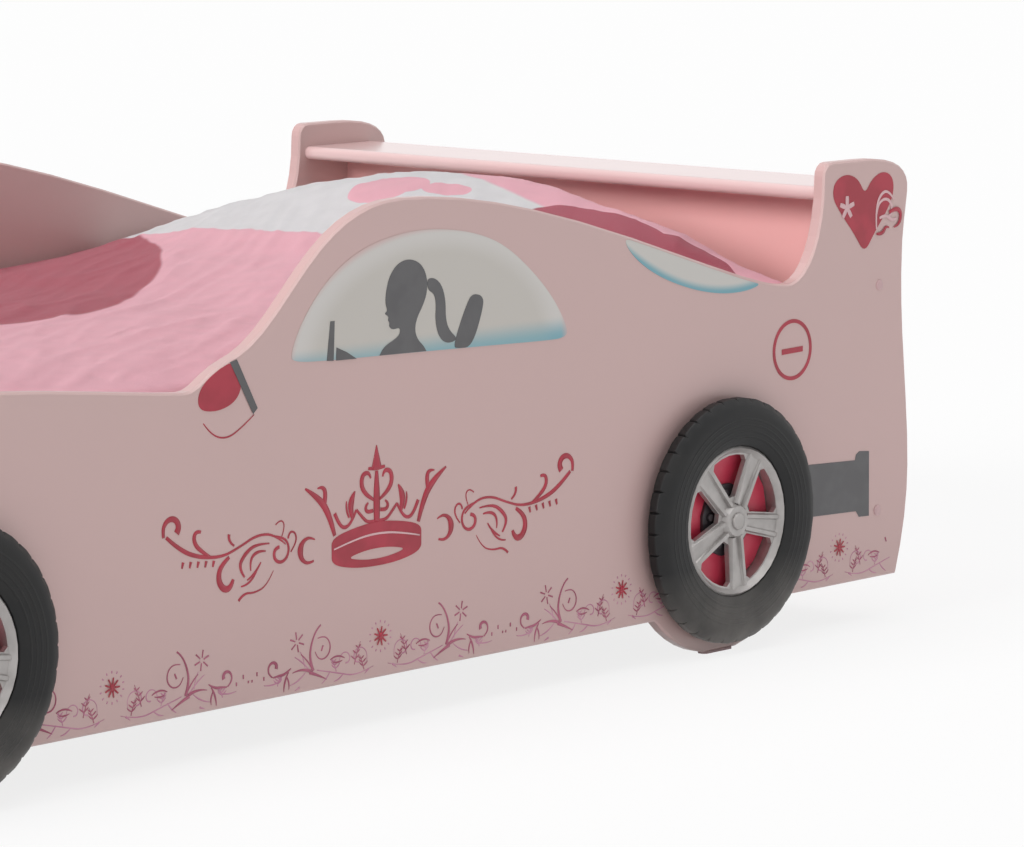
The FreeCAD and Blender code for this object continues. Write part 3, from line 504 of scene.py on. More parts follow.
def ink(name, colour, second=None, gloss=0.4):
    """Printed ink: a little worn, and cloudy where a second shade is given."""
    finish = Finish(name, gloss, Coat_Weight=0.15)
    skin = finish.group(lacquer, Vector=finish.place, Colour=colour, Cloud=0.18)
    source = skin.outputs["Colour"]
    if second:
        mottle = finish.node("ShaderNodeTexNoise")
        mottle.inputs["Scale"].default_value = 30.0
        finish.wire(finish.place, mottle.inputs["Vector"])
        source = finish.blend(finish.step(mottle.outputs[0], 0.35, 0.65), source, second)
    finish.colour(source)
    finish.bump(skin.outputs["Height"], 0.00003)
    return finish.material


ink_crimson = ink("ink_crimson", tint(186, 46, 68), tint(170, 38, 58))
ink_rose = ink("ink_rose", tint(190, 104, 130), tint(168, 76, 104))
ink_mauve = ink("ink_mauve", tint(214, 152, 176), tint(200, 128, 158))
ink_grey = ink("ink_grey", tint(96, 95, 97), tint(90, 89, 91))
ink_blush = ink("ink_blush", tint(232, 190, 194))


def to_mesh(curve_piece, name, squeeze=None):
    """Turns a drawn curve into a mesh with its place in its points."""
    graph = bpy.context.evaluated_depsgraph_get()
    mesh = bpy.data.meshes.new_from_object(curve_piece.evaluated_get(graph))
    mesh.transform(curve_piece.matrix_world)
    if squeeze is not None:
        mesh.transform(Matrix.Diagonal((1, squeeze, 1, 1)))
    bpy.data.objects.remove(curve_piece)
    piece = bpy.data.objects.new(name, mesh)
    scene.collection.objects.link(piece)
    return piece


def pen_lines(name, strokes):
    """Pen strokes in the panel's plane, swelling and thinning between their end widths.
    A stroke is its points in millimetres and the widths along them."""
    curve = bpy.data.curves.new(name, "CURVE")
    curve.dimensions = "3D"
    curve.bevel_depth = 0.001
    curve.bevel_resolution = 1
    curve.resolution_u = 5
    curve.use_fill_caps = True
    for points, widths in strokes:
        spline = curve.splines.new("NURBS")
        last = len(points) - 1
        spline.points.add(last)
        for index, (point, target) in enumerate(zip(points, spline.points)):
            along = index / last * (len(widths) - 1)
            low = min(int(along), len(widths) - 2)
            width = widths[low] + (widths[low + 1] - widths[low]) * (along - low)
            target.co = (point[0] / 1000, 0, point[1] / 1000, 1)
            target.radius = width / 2
        spline.order_u = 3
        spline.use_endpoint_u = True
    piece = bpy.data.objects.new(name, curve)
    scene.collection.objects.link(piece)
    bpy.context.view_layer.update()
    return to_mesh(piece, name, squeeze=pen_flatness)


def filled(name, outlines, smooth_outline=True):
    """Flat shapes with holes: each outline is a closed run of points in millimetres."""
    curve = bpy.data.curves.new(name, "CURVE")
    curve.dimensions = "2D"
    curve.fill_mode = "BOTH"
    curve.extrude = print_body / 2
    curve.resolution_u = 6
    for points in outlines:
        spline = curve.splines.new("NURBS" if smooth_outline else "POLY")
        spline.points.add(len(points) - 1)
        for point, target in zip(points, spline.points):
            target.co = (point[0] / 1000, point[1] / 1000, 0, 1)
        spline.order_u = 3
        spline.use_cyclic_u = True
    piece = bpy.data.objects.new(name, curve)
    piece.rotation_euler = (math.radians(90), 0, 0)
    scene.collection.objects.link(piece)
    bpy.context.view_layer.update()
    return to_mesh(piece, name)


def on_panels(name, pieces, colour, layer=0):
    """Lays a print on the near panel and its mirror image on the far one. A higher layer
    stands further out from the panel."""
    print_piece = joined(name + "_near", pieces)
    depth = near_face - print_lift - layer * print_layer
    print_piece.data.transform(Matrix.Translation((0, depth, 0)))
    print_piece.data.materials.clear()
    print_piece.data.materials.append(colour)
    in_edit_mode(print_piece, lambda: bpy.ops.mesh.remove_doubles(threshold=0.00001),
                 lambda: bpy.ops.mesh.normals_make_consistent(inside=False))
    other = print_piece.copy()
    other.data = print_piece.data.copy()
    other.name = other.data.name = name + "_far"
    scene.collection.objects.link(other)
    other.data.transform(Matrix.Diagonal((1, -1, 1, 1)))
    in_edit_mode(other, lambda: bpy.ops.mesh.normals_make_consistent(inside=False))
    for each in (print_piece, other):
        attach(each, "frame")


def circle(x, z, radius, count):
    turns = [2 * math.pi * i / count for i in range(count)]
    return [(x + radius * math.cos(turn), z + radius * math.sin(turn)) for turn in turns]


def curl(x, z, start_radius, end_radius, start, turn, steps=9):
    """Points of a spiral about (x, z); angles in degrees, widths to be given beside them."""
    points = []
    for i in range(steps):
        share = i / (steps - 1)
        radius = start_radius + (end_radius - start_radius) * share
        angle = math.radians(start + turn * share)
        points.append((x + radius * math.cos(angle), z + radius * math.sin(angle)))
    return points


def mirror_strokes(strokes, middle):
    return strokes + [([(2 * middle - x, z) for x, z in points], widths) for points, widths in strokes]


def moved(points, dx, dz):
    return [(dx + x, dz + z) for x, z in points]


def window_glass():
    """A pale pane with a lighter rim, blue-green along its sill."""
    finish = Finish("window_print", 0.3, Coat_Weight=0.3)
    parts = finish.node("ShaderNodeSeparateXYZ")
    finish.wire(finish.place, parts.inputs[0])
    px, pz = parts.outputs[0], parts.outputs[2]
    middle_x, sill_z = 0.201, 0.428
    half_width, dome_height = 0.236, 0.146
    across = finish.math("DIVIDE", finish.math("SUBTRACT", px, middle_x), half_width)
    upward = finish.math("DIVIDE", finish.math("SUBTRACT", pz, sill_z), dome_height)
    away = finish.math("SQRT", finish.math("ADD", finish.math("MULTIPLY", across, across),
                                           finish.math("MULTIPLY", upward, upward)))
    low = finish.step(pz, 0.427, 0.454, 1, 0)
    pane = finish.blend(low, tint(210, 205, 198), tint(140, 184, 194))
    rim_colour = finish.blend(low, tint(222, 218, 214), tint(128, 180, 194))
    pane = finish.blend(finish.step(away, 0.78, 0.95), pane, rim_colour)
    finish.colour(finish.blend(finish.step(away, 0.955, 1.03), pane, panel_base))
    finish.bump(finish.step(away, 0.9, 1.0), 0.00002)
    return finish.material


def rear_glass():
    """A pale pane, blue-green along its lower edge, which slopes and sags."""
    finish = Finish("rear_window_print", 0.3, Coat_Weight=0.3)
    parts = finish.node("ShaderNodeSeparateXYZ")
    finish.wire(finish.place, parts.inputs[0])
    middle_x, slope, bow = 0.645, 0.34, 1.6
    from_middle = finish.math("SUBTRACT", parts.outputs[0], middle_x)
    sag = finish.math("MULTIPLY", finish.math("MULTIPLY", from_middle, from_middle), bow)
    level = finish.math("MULTIPLY_ADD", parts.outputs[0], slope, parts.outputs[2])
    rise = finish.math("SUBTRACT", level, sag)
    low = finish.step(rise, 0.692, 0.703, 1, 0)
    finish.colour(finish.blend(low, tint(216, 213, 208), tint(120, 176, 190)))
    finish.bump(finish.step(rise, 0.69, 0.74), 0.00002)
    return finish.material


window_outline = [(-34, 447), (-28, 438), (30, 435), (148, 432), (285, 428), (409, 424), (432, 425),
                  (442, 432), (418, 470), (382, 506), (329, 545), (276, 564), (216, 573), (165, 574),
                  (106, 566), (57, 548), (16, 519), (-16, 482)]
on_panels("print_window", [filled("pane", [window_outline])], window_glass())

driver_head = [(126, 484), (122, 492), (123, 506), (129, 524), (143, 538), (163, 542), (182, 535),
               (192, 520), (193, 502), (186, 486), (175, 472), (171, 458), (176, 446), (186, 438),
               (191, 431), (191, 431), (112, 433), (112, 433), (120, 443), (139, 450), (147, 456),
               (146, 463), (134, 461), (128, 465), (129, 470), (126, 473), (128, 477), (120, 481)]
ponytail = [(192, 516), (206, 516), (218, 506), (224, 488), (224, 466), (230, 452), (246, 440),
            (226, 436), (212, 446), (206, 466), (208, 486), (204, 498), (194, 502)]
headrest = [(246, 429), (236, 432), (262, 484), (272, 492), (288, 488), (290, 476), (270, 429)]
wheel_post = [(25, 435), (31, 480), (38, 480), (36, 434)]
wheel_hub = [(40, 434), (41, 449), (58, 442), (74, 433)]
figure = [filled("driver", [driver_head]), filled("tail", [ponytail]), filled("headrest", [headrest]),
          filled("post", [wheel_post], smooth_outline=False),
          filled("wheel_hub", [wheel_hub], smooth_outline=False)]
on_panels("print_driver", figure, ink_grey, layer=1)


def roof_edge(share):
    """A point on the panel's edge from the roof down to the dip behind it."""
    ends = ((150.5, 613), (412.5, 613), (765.5, 454), (860.5, 454))
    weights = ((1 - share) ** 3, 3 * (1 - share) ** 2 * share, 3 * (1 - share) * share ** 2, share ** 3)
    return tuple(sum(w * p[axis] for w, p in zip(weights, ends)) for axis in (0, 1))


rear_inset = 4
rear_top = [(x, z - rear_inset) for x, z in (roof_edge(0.465 + 0.0395 * i) for i in range(11))]
rear_low = [(774, 452), (725, 453), (668, 464), (606, 485), (560, 512)]
on_panels("print_rear_window", [filled("rear_pane", [rear_top + rear_low])], rear_glass())

# Mirror, filler-cap ring and tailpipe.
mirror_leaf = [(-179, 398), (-180, 418), (-160, 436), (-124, 450), (-112, 440), (-112, 414), (-126, 400),
               (-152, 394)]
on_panels("print_mirror", [filled("leaf", [mirror_leaf]),
                           pen_lines("leaf_arc", [([(-172, 383), (-160, 369), (-139, 362), (-118, 368),
                                                    (-92, 385)], (1.5, 2.5, 1.5))])], ink_crimson)
on_panels("print_mirror_post", [filled("mirror_post", [[(-130, 448), (-119, 450), (-87, 392), (-94, 386)]],
                                       smooth_outline=False)], ink_grey, layer=1)
filler_ring = [circle(869, 370, radius, 20) for radius in (39.5, 34.5)]
filler_bar = [(848, 365), (848, 372), (890, 373), (890, 366)]
on_panels("print_filler_ring", [filled("ring", filler_ring),
                                filled("bar", [filler_bar], smooth_outline=False)], ink_crimson)
tailpipe = [(888, 219), (999, 214), (1001, 221), (1008, 225), (1028, 223), (1029, 138), (1008, 139),
            (1002, 147), (888, 151)]
on_panels("print_tailpipe", [filled("pipe", [tailpipe], smooth_outline=False)], ink_grey)

# Heart with a light flower and a curled leaf.
heart_x, heart_z = 1014.5, 481
heart = [(0, 0), (-20, 26), (-52, 58), (-67, 78), (-62, 98), (-38, 106), (-14, 98), (0, 76), (14, 96),
         (38, 105), (58, 96), (60, 74), (44, 50), (20, 26)]
on_panels("print_heart", [filled("heart", [moved(heart, heart_x, heart_z)])], ink_crimson)
petals = []
for petal in range(5):
    turn = math.radians(90 + 72 * petal)
    petals.append(([(reach * math.cos(turn), reach * math.sin(turn)) for reach in (0, 8, 15)], (5, 9, 6)))
flower_x, flower_z = heart_x - 37, heart_z + 62
light_marks = [(moved(points, flower_x, flower_z), widths) for points, widths in petals]
light_marks += [
    (moved(curl(44, 52, 22, 6, 200, -330), heart_x, heart_z), (3, 5, 4)),
    (moved([(24, 30), (22, 52), (30, 74), (48, 80), (60, 66)], heart_x, heart_z), (3, 5, 3)),
    (moved([(30, 44), (44, 48), (56, 38), (66, 42)], heart_x, heart_z), (4, 6, 3)),
]
on_panels("print_heart_light", [pen_lines("light", light_marks)], ink_blush, layer=1)
leaf_marks = [
    (moved([(50, 50), (66, 56), (76, 46), (70, 32), (60, 30)], heart_x, heart_z), (5, 8, 6, 2)),
    (moved([(24, 24), (36, 22), (44, 34), (50, 30)], heart_x, heart_z), (3, 7, 4, 2)),
]
on_panels("print_heart_leaf", [pen_lines("leaf", leaf_marks)], ink_crimson, layer=2)

# Crown between two runs of scrolls, drawn to the right of its middle and mirrored.
crown_x, crown_z = 107, 195


def crown_half():
    """The strokes to the right of the crown's middle."""
    half = [
        # hoop and its scallops
        ([(0, 46), (14, 44), (24, 52), (34, 62)], (4, 5, 4)),
        ([(34, 62), (42, 48), (54, 42), (64, 50), (70, 62)], (4, 5, 6)),
        # outer point, split at its tip
        ([(70, 36), (78, 60), (94, 82), (118, 96)], (6, 10, 11, 3)),
        ([(88, 70), (84, 84), (88, 96), (98, 94)], (7, 8, 6, 2)),
        # middle point with a drop
        ([(40, 52), (44, 62), (42, 76), (36, 84)], (5, 10, 11, 2)),
        ([(46, 54), (52, 64), (50, 74)], (3, 5, 2)),
        # lily beside the tall point
        ([(4, 70), (16, 76), (26, 88), (24, 102), (12, 104), (10, 96)], (4, 7, 8, 6, 3)),
        ([(6, 58), (16, 56), (20, 64), (14, 68)], (5, 6, 3)),
        # curl beside the crown
        (curl(112, 24, 15, 15, 130, -250), (2, 5, 11, 5, 3)),
        # stem that climbs away and ends in a curl
        ([(150, 36), (168, 50), (196, 52), (222, 42), (252, 33), (290, 38), (318, 50), (338, 66)],
         (2, 4, 3, 4, 7, 5)),
        (curl(328, 74, 16, 8, -30, 250), (5, 8, 10)),
        ([(270, 36), (288, 46), (296, 58), (292, 68), (284, 66)], (4, 7, 6, 4)),
        # coil near the crown
        (curl(160, 28, 20, 6, 70, 380), (3, 4, 5, 5)),
        ([(142, 26), (132, 36), (134, 48), (144, 50), (146, 42)], (2, 3, 3, 3)),
        ([(156, 46), (150, 58), (158, 66), (166, 60)], (1.5, 2, 2)),
        # feathers inside the sweep
        ([(176, 40), (198, 42), (216, 32), (226, 18), (216, 6)], (2, 4, 6, 5, 3)),
        ([(182, 32), (196, 34), (208, 24), (206, 12)], (2, 5, 4, 2)),
        ([(190, 20), (198, 8), (212, 2)], (2, 5, 2)),
        ([(196, 12), (206, -4), (222, -4)], (2, 4, 2)),
        # drop leaf under the stem
        ([(240, 32), (254, 24), (258, 8), (250, -4), (238, -4), (234, 6)], (5, 8, 10, 9, 5)),
        # thin tail
        ([(170, 8), (180, -8), (200, -14), (218, -12), (226, -20)], (1, 2, 3, 4)),
        ([(232, 44), (242, 50), (240, 58)], (3, 4, 5)),
    ]
    half += [([(264 + 12 * i, 31 + i), (266 + 12 * i, 24 + i)], (5, 3)) for i in range(5)]
    return half


crown_strokes = [(moved(points, crown_x, crown_z), widths) for points, widths in crown_half()]
crown_strokes = mirror_strokes(crown_strokes, crown_x)
crown_strokes += [
    (moved([(0, 44), (0, 60), (0, 84), (0, 104)], crown_x, crown_z), (9, 14, 6, 12, 5)),
    (moved([(-14, 108), (0, 106), (14, 108)], crown_x, crown_z), (4, 7, 4)),
    (moved([(0, 106), (0, 116), (0, 134)], crown_x, crown_z), (18, 12, 1.5)),
]
hoop = [(-75, 2), (-75, 18), (-75, 33), (-40, 41), (0, 45), (40, 41), (75, 33), (75, 18), (75, 2),
        (40, -6), (0, -8), (-40, -6)]
hoop_eye = [(-50, 7), (-25, 12), (0, 13.5), (25, 12), (50, 7), (25, 2), (0, 0.5), (-25, 2)]
hoop_shapes = [moved(hoop, crown_x, crown_z), moved(hoop_eye, crown_x, crown_z)]
on_panels("print_crown", [filled("hoop", hoop_shapes), pen_lines("scrolls", crown_strokes)], ink_crimson)
hoop_line = moved([(-72, 20), (-36, 28), (0, 31), (36, 28), (72, 20)], crown_x, crown_z)
on_panels("print_crown_line", [pen_lines("line", [(hoop_line, (2, 3, 2))])], ink_blush, layer=1)

# Border of flowers and sprigs along the sill, one repeat drawn as a half and mirrored.
border_first, border_period, border_z = -743.1, 427.8, 60.0
border_foot, border_head, border_repeats = -1070, 1076, 6


def sprig(x, z, lean, size):
    """A small leaf sprig: a leaning stem with three pairs of pointed leaves."""
    stem = [(x, z), (x + lean * size * 0.15, z + size * 0.5), (x + lean * size * 0.4, z + size)]
    marks = [(stem, (1.6, 1.3, 0.8))]
    for share, reach in ((0.25, 7.0), (0.5, 6.0), (0.75, 4.5)):
        foot_x = x + lean * size * 0.4 * share ** 1.5
        foot_z = z + size * share
        for side in (-1, 1):
            marks.append(([(foot_x, foot_z), (foot_x + side * reach * 0.5, foot_z + reach * 0.2),
                           (foot_x + side * reach, foot_z + reach * 0.7)], (1.0, 3.4, 0.6)))
    return marks


def petals_round(x, z, count, inner, outer, widths, start=0.0):
    """Strokes that fan out around a flower's middle."""
    fan = []
    for petal in range(count):
        turn = math.radians(start + 360 * petal / count)
        fan.append(([(x + inner * math.cos(turn), z + inner * math.sin(turn)),
                     (x + outer * math.cos(turn), z + outer * math.sin(turn))], widths))
    return fan


def border_rose():
    """Right half of one repeat: the darker flowers, their stems, buds and sprigs."""
    half = [
        ([(112, 18), (118, 32), (115, 50), (106, 66), (99, 70)], (5, 4, 3.2, 2.4, 2.6)),
        ([(118, 17), (104, 12), (90, 5)], (5, 3.5, 1)),
        ([(116, 18), (130, 24), (146, 20)], (5, 3.5, 1)),
        ([(112, 19), (122, 33), (132, 40)], (3, 2, 1.4)),
        (curl(97, 42, 15, 12, 60, 290), (1.4, 2.4, 1.4)),
        (curl(176, 30, 11, 4, -80, 280), (2, 3, 4.5, 6)),
        ([(148, 26), (158, 20), (168, 20), (177, 19)], (1.5, 4, 3, 2)),
        ([(152, 22), (160, 12), (160, 0)], (1.5, 5, 1)),
        ([(156, 18), (150, 10), (152, 2)], (1.5, 4, 1)),
        ([(60, 26), (72, 33), (84, 27)], (1.2, 4, 1.2)),
        ([(64, 24), (72, 21), (80, 24)], (1, 3.4, 1)),
        ([(96, 42), (98, 43)], (8, 8)),
        ([(191, 20), (193, 20)], (5, 5)),
        ([(202, 27), (204, 27)], (5.5, 5.5)),
        ([(210, 20), (212, 20)], (3.5, 3.5)),
    ]
    half += petals_round(138, 55, 6, 3, 12, (2, 5.4, 2.4), start=20)
    half += sprig(44, 16, -1, 26) + sprig(28, 8, 1, 18)
    return half


def border_mauve():
    """Right half of one repeat: the paler curls, leaves and the ring of petals."""
    half = [
        (curl(36, 24, 15, 6, 210, -300), (1.0, 2.0, 2)),
        (curl(58, 24, 12, 4, -20, 300), (1.0, 1.8, 2)),
        ([(12, 10), (40, 2), (72, 10), (106, 18)], (0.8, 2.4, 1.4)),
        ([(118, 20), (132, 33), (142, 38)], (1.5, 2.6, 1.2)),
        ([(124, 18), (136, 8), (150, 6)], (1.2, 3.4, 0.8)),
        ([(126, 24), (127, 36), (133, 43)], (1, 2.6, 1)),
        ([(164, 14), (178, 9), (192, 12)], (1.2, 3, 0.8)),
        ([(84, 14), (90, 5), (98, 1)], (1.2, 3.6, 0.8)),
        ([(62, 8), (70, 1), (78, 1)], (1.2, 3.2, 0.8)),
        ([(20, 8), (27, 3)], (3.4, 1)),
        ([(134, 2), (142, -1)], (3.2, 1)),
    ]
    half += petals_round(0, 43.6, 14, 16, 19, (1.4, 2.8, 1.4), start=12)
    half += sprig(74, 12, 1, 16) + sprig(170, 8, -1, 12)
    return half


def border_flower():
    """The open flower in the middle of each repeat."""
    fan = petals_round(0, 43.6, 9, 3, 11.5, (3, 5.4, 2.2))
    return fan + [([(-2.4, 43.6), (2.4, 43.6)], (9, 9))]


def along_sill(strokes):
    """Repeats strokes along the whole panel, leaving out what would pass its ends."""
    laid = []
    for repeat in range(border_repeats):
        middle = border_first + border_period * repeat
        for points, widths in strokes:
            run = moved(points, middle, border_z)
            if all(border_foot < x < border_head for x, z in run):
                laid.append((run, widths))
    return laid


rose_strokes = along_sill(mirror_strokes(border_rose(), 0))
mauve_strokes = along_sill(mirror_strokes(border_mauve(), 0))
under_rose = -0.4
on_panels("print_border_rose", [pen_lines("rose", rose_strokes)], ink_rose)
on_panels("print_border_mauve", [pen_lines("mauve", mauve_strokes)], ink_mauve, layer=under_rose)
on_panels("print_border_flower", [pen_lines("flower", along_sill(border_flower()))], ink_crimson, layer=1)


# ---- Bedding ----
def lifted_copy(node, name):
    """A joined-up copy of a soft solid, ready to be shaped."""
    piece = bpy.data.objects.new(name, nodes[node].data.copy())
    scene.collection.objects.link(piece)
    piece.data.materials.clear()
    in_edit_mode(piece, lambda: bpy.ops.mesh.remove_doubles(threshold=0.0001))
    return piece


def remeshed(piece, voxel):
    select_only(piece)
    modifier = piece.modifiers.new("even", "REMESH")
    modifier.mode = "VOXEL"
    modifier.voxel_size = voxel
    bpy.ops.object.modifier_apply(modifier=modifier.name)
    return piece


def puffed(piece, pressure, cap, held):
    """Swells a piece as padding does, by cap at most. held says how firmly a point stays,
    from 0 to 1."""
    rest = [v.co.copy() for v in piece.data.vertices]
    group = piece.vertex_groups.new(name="held")
    for vertex in piece.data.vertices:
        group.add([vertex.index], held(vertex.co), "REPLACE")
    cloth = piece.modifiers.new("padding", "CLOTH")
    settings = cloth.settings
    settings.quality = 4
    settings.use_pressure = True
    settings.uniform_pressure_force = pressure
    settings.effector_weights.gravity = 0
    settings.vertex_group_mass = "held"
    settings.tension_stiffness = 12
    settings.compression_stiffness = 12
    settings.bending_stiffness = 0.4
    cloth.point_cache.frame_start = 1
    cloth.point_cache.frame_end = 20
    for number in range(1, 21):
        scene.frame_set(number)
    select_only(piece)
    bpy.ops.object.modifier_apply(modifier=cloth.name)
    scene.frame_set(1)
    for vertex, before in zip(piece.data.vertices, rest):
        shift = vertex.co - before
        if shift.length > cap:
            vertex.co = before + shift * (cap / shift.length)
    piece.vertex_groups.clear()


def duvet_print():
    """Printed cotton: a pink field, a pale band over the pillow, and round patches."""
    finish = Finish("duvet_cotton", 0.78, Sheen_Weight=0.25, Sheen_Roughness=0.5)
    parts = finish.node("ShaderNodeSeparateXYZ")
    finish.wire(finish.place, parts.inputs[0])
    waver = finish.node("ShaderNodeTexNoise")
    waver.inputs["Scale"].default_value = 6.0
    finish.wire(finish.place, waver.inputs["Vector"])
    sway = finish.math("SUBTRACT", waver.outputs[0], 0.5)
    px = finish.math("MULTIPLY_ADD", sway, 0.03, parts.outputs[0])
    py = parts.outputs[1]

    def spot(x, y, long, short, turn):
        """A round patch: its middle, its two half widths and its turn in degrees."""
        lean = math.radians(turn)
        dx = finish.math("SUBTRACT", px, x)
        dy = finish.math("SUBTRACT", py, y)
        cos, sin = math.cos(lean), math.sin(lean)
        along = finish.math("MULTIPLY_ADD", dx, cos, finish.math("MULTIPLY", dy, sin))
        across = finish.math("MULTIPLY_ADD", dy, cos, finish.math("MULTIPLY", dx, -sin))
        along = finish.math("DIVIDE", along, long)
        across = finish.math("DIVIDE", across, short)
        away = finish.math("ADD", finish.math("MULTIPLY", along, along),
                           finish.math("MULTIPLY", across, across))
        return finish.step(away, 0.97, 1.03, 1, 0)

    inks = {"pink": tint(238, 172, 186), "pale": tint(222, 219, 221), "deep": tint(166, 52, 76)}
    band_start, band_blur = 0.525, 0.006
    shade = finish.blend(finish.step(px, band_start, band_start + band_blur), inks["pink"], inks["pale"])
    for x, y, long, short, turn, colour in duvet_spots:
        shade = finish.blend(spot(x, y, long, short, turn), shade, inks[colour])
    cloth = finish.group(weave, Vector=finish.place, Threads=700.0, Colour=shade)
    finish.colour(cloth.outputs["Colour"])
    finish.bump(cloth.outputs["Height"], 0.0003)
    return finish.material


# Each patch: middle x and y, half width along and across, turn in degrees, ink.
duvet_spots = [
    (0.17, 0.27, 0.47, 0.221, 40, "deep"),
    (0.675, 0.04, 0.054, 0.050, 0, "pink"),
    (0.70, -0.037, 0.026, 0.036, 0, "pink"),
    (1.00, -0.25, 0.275, 0.40, 0, "pink"),
    (0.71, -0.305, 0.082, 0.128, 0, "deep"),
    (0.772, -0.395, 0.072, 0.07, 0, "deep"),
    (-0.52, 0.02, 0.19, 0.15, 30, "pale"),
    (-0.78, -0.26, 0.15, 0.13, 20, "deep"),
    (-0.76, 0.30, 0.12, 0.10, -15, "deep"),
]


# Creases of three sizes: roughly how many go to a metre, and their height in metres.
crease_sizes = ((8.0, 0.0036), (19.0, 0.0032), (36.0, 0.0018))


def creases(x, y):
    """Height in metres of the creases that run slantwise over the cover."""
    angle = math.radians(27 + 12 * noise.noise(Vector((x * 1.6, y * 1.6, 4.0))))
    along = x * math.cos(angle) + y * math.sin(angle)
    across = -x * math.sin(angle) + y * math.cos(angle)
    ridge = 0.0
    for size, depth in crease_sizes:
        value = noise.noise(Vector((along * size * 0.16, across * size, size)))
        ridge += depth * (1 - min(1.0, abs(value) * 3.0)) ** 1.5
    soft = 0.004 * noise.noise(Vector((x * 3.0, y * 3.4, 9.0)))
    over_pillow = min(1.0, max(0.0, (x - 0.52) / 0.14))
    calm = 1 - 0.5 * over_pillow
    return ridge * calm + soft


def pillow_swell(x, y):
    """How far the cover is pushed up by the pillow's filling, in metres."""
    crown = 0.032 * math.exp(-((x - 0.83) / 0.16) ** 2 - ((y + 0.03) / 0.24) ** 2)
    shoulder = 0.008 * math.exp(-((x - 0.70) / 0.10) ** 2 - ((y - 0.17) / 0.12) ** 2)
    gathered = 0.012 * math.exp(-((x - 0.84) / 0.17) ** 2 - ((y + 0.30) / 0.08) ** 2)
    return crown + shoulder + gathered


def make_duvet():
    """A padded cover over the pillow's hump. Its solid is thin over the pillow's far side, so a
    raised copy of the pillow is joined in as filling, and the underside stays clear of the pillow."""
    wall_over_pillow, least_wall, proud = 0.012, 0.0015, 0.026
    low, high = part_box("duvet")
    filling = lifted_copy("pillow", "filling")
    filling.data.transform(Matrix.Translation((0, 0, wall_over_pillow)))
    piece = remeshed(joined("duvet_cover", [lifted_copy("duvet", "duvet_cover"), filling]), voxel=0.0135)
    foot = low.z + 0.004

    def held(point):
        return 1.0 if point.z < foot else 0.0

    puffed(piece, pressure=1.6, cap=0.006, held=held)
    modifier = piece.modifiers.new("finer", "SUBSURF")
    modifier.levels = modifier.render_levels = 1
    apply_all(piece)
    piece.data.update()
    beneath = BVHTree.FromObject(nodes["pillow"], bpy.context.evaluated_depsgraph_get())
    normals = [n.vector.copy() for n in piece.data.vertex_normals]
    for vertex, normal in zip(piece.data.vertices, normals):
        rise = max(0.0, normal.z)
        if vertex.co.z > foot + 0.004 and rise > 0.1:
            share = min(1.0, rise * 1.4)
            from_side = min(vertex.co.y - low.y, high.y - vertex.co.y)
            inland = min(1.0, max(0.0, from_side - 0.012) / 0.06)
            vertex.co.z += pillow_swell(vertex.co.x, vertex.co.y) * share
            vertex.co += normal * (creases(vertex.co.x, vertex.co.y) - 0.003) * share * inland
        if normal.z < -0.2 and vertex.co.z > foot:
            above = Vector((vertex.co.x, vertex.co.y, 1.0))
            pillow_top = beneath.ray_cast(above, Vector((0, 0, -1)))[0]
            if pillow_top is not None:
                vertex.co.z = max(vertex.co.z, pillow_top.z + least_wall)
        vertex.co.x = min(max(vertex.co.x, low.x - 0.004), high.x + 0.002)
        vertex.co.y = min(max(vertex.co.y, low.y - 0.001), high.y + 0.001)
        vertex.co.z = min(vertex.co.z, high.z + proud)
    smooth(piece, 80)
    piece.data.materials.append(duvet_print())
    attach(piece, "duvet")
    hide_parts("duvet")


def ticking(name, colour, stripe, direction):
    """Mattress ticking: a woven cloth with a fine stripe."""
    finish = Finish(name, 0.8, Sheen_Weight=0.15)
    wave = finish.node("ShaderNodeTexWave", bands_direction=direction)
    wave.inputs["Scale"].default_value = 18.0
    finish.wire(finish.place, wave.inputs["Vector"])
    shade = finish.blend(finish.step(wave.outputs[1], 0.86, 0.92), colour, stripe)
    cloth = finish.group(weave, Vector=finish.place, Threads=500.0, Colour=shade)
    finish.colour(cloth.outputs["Colour"])
    finish.bump(cloth.outputs["Height"], 0.0004)
    return finish.material


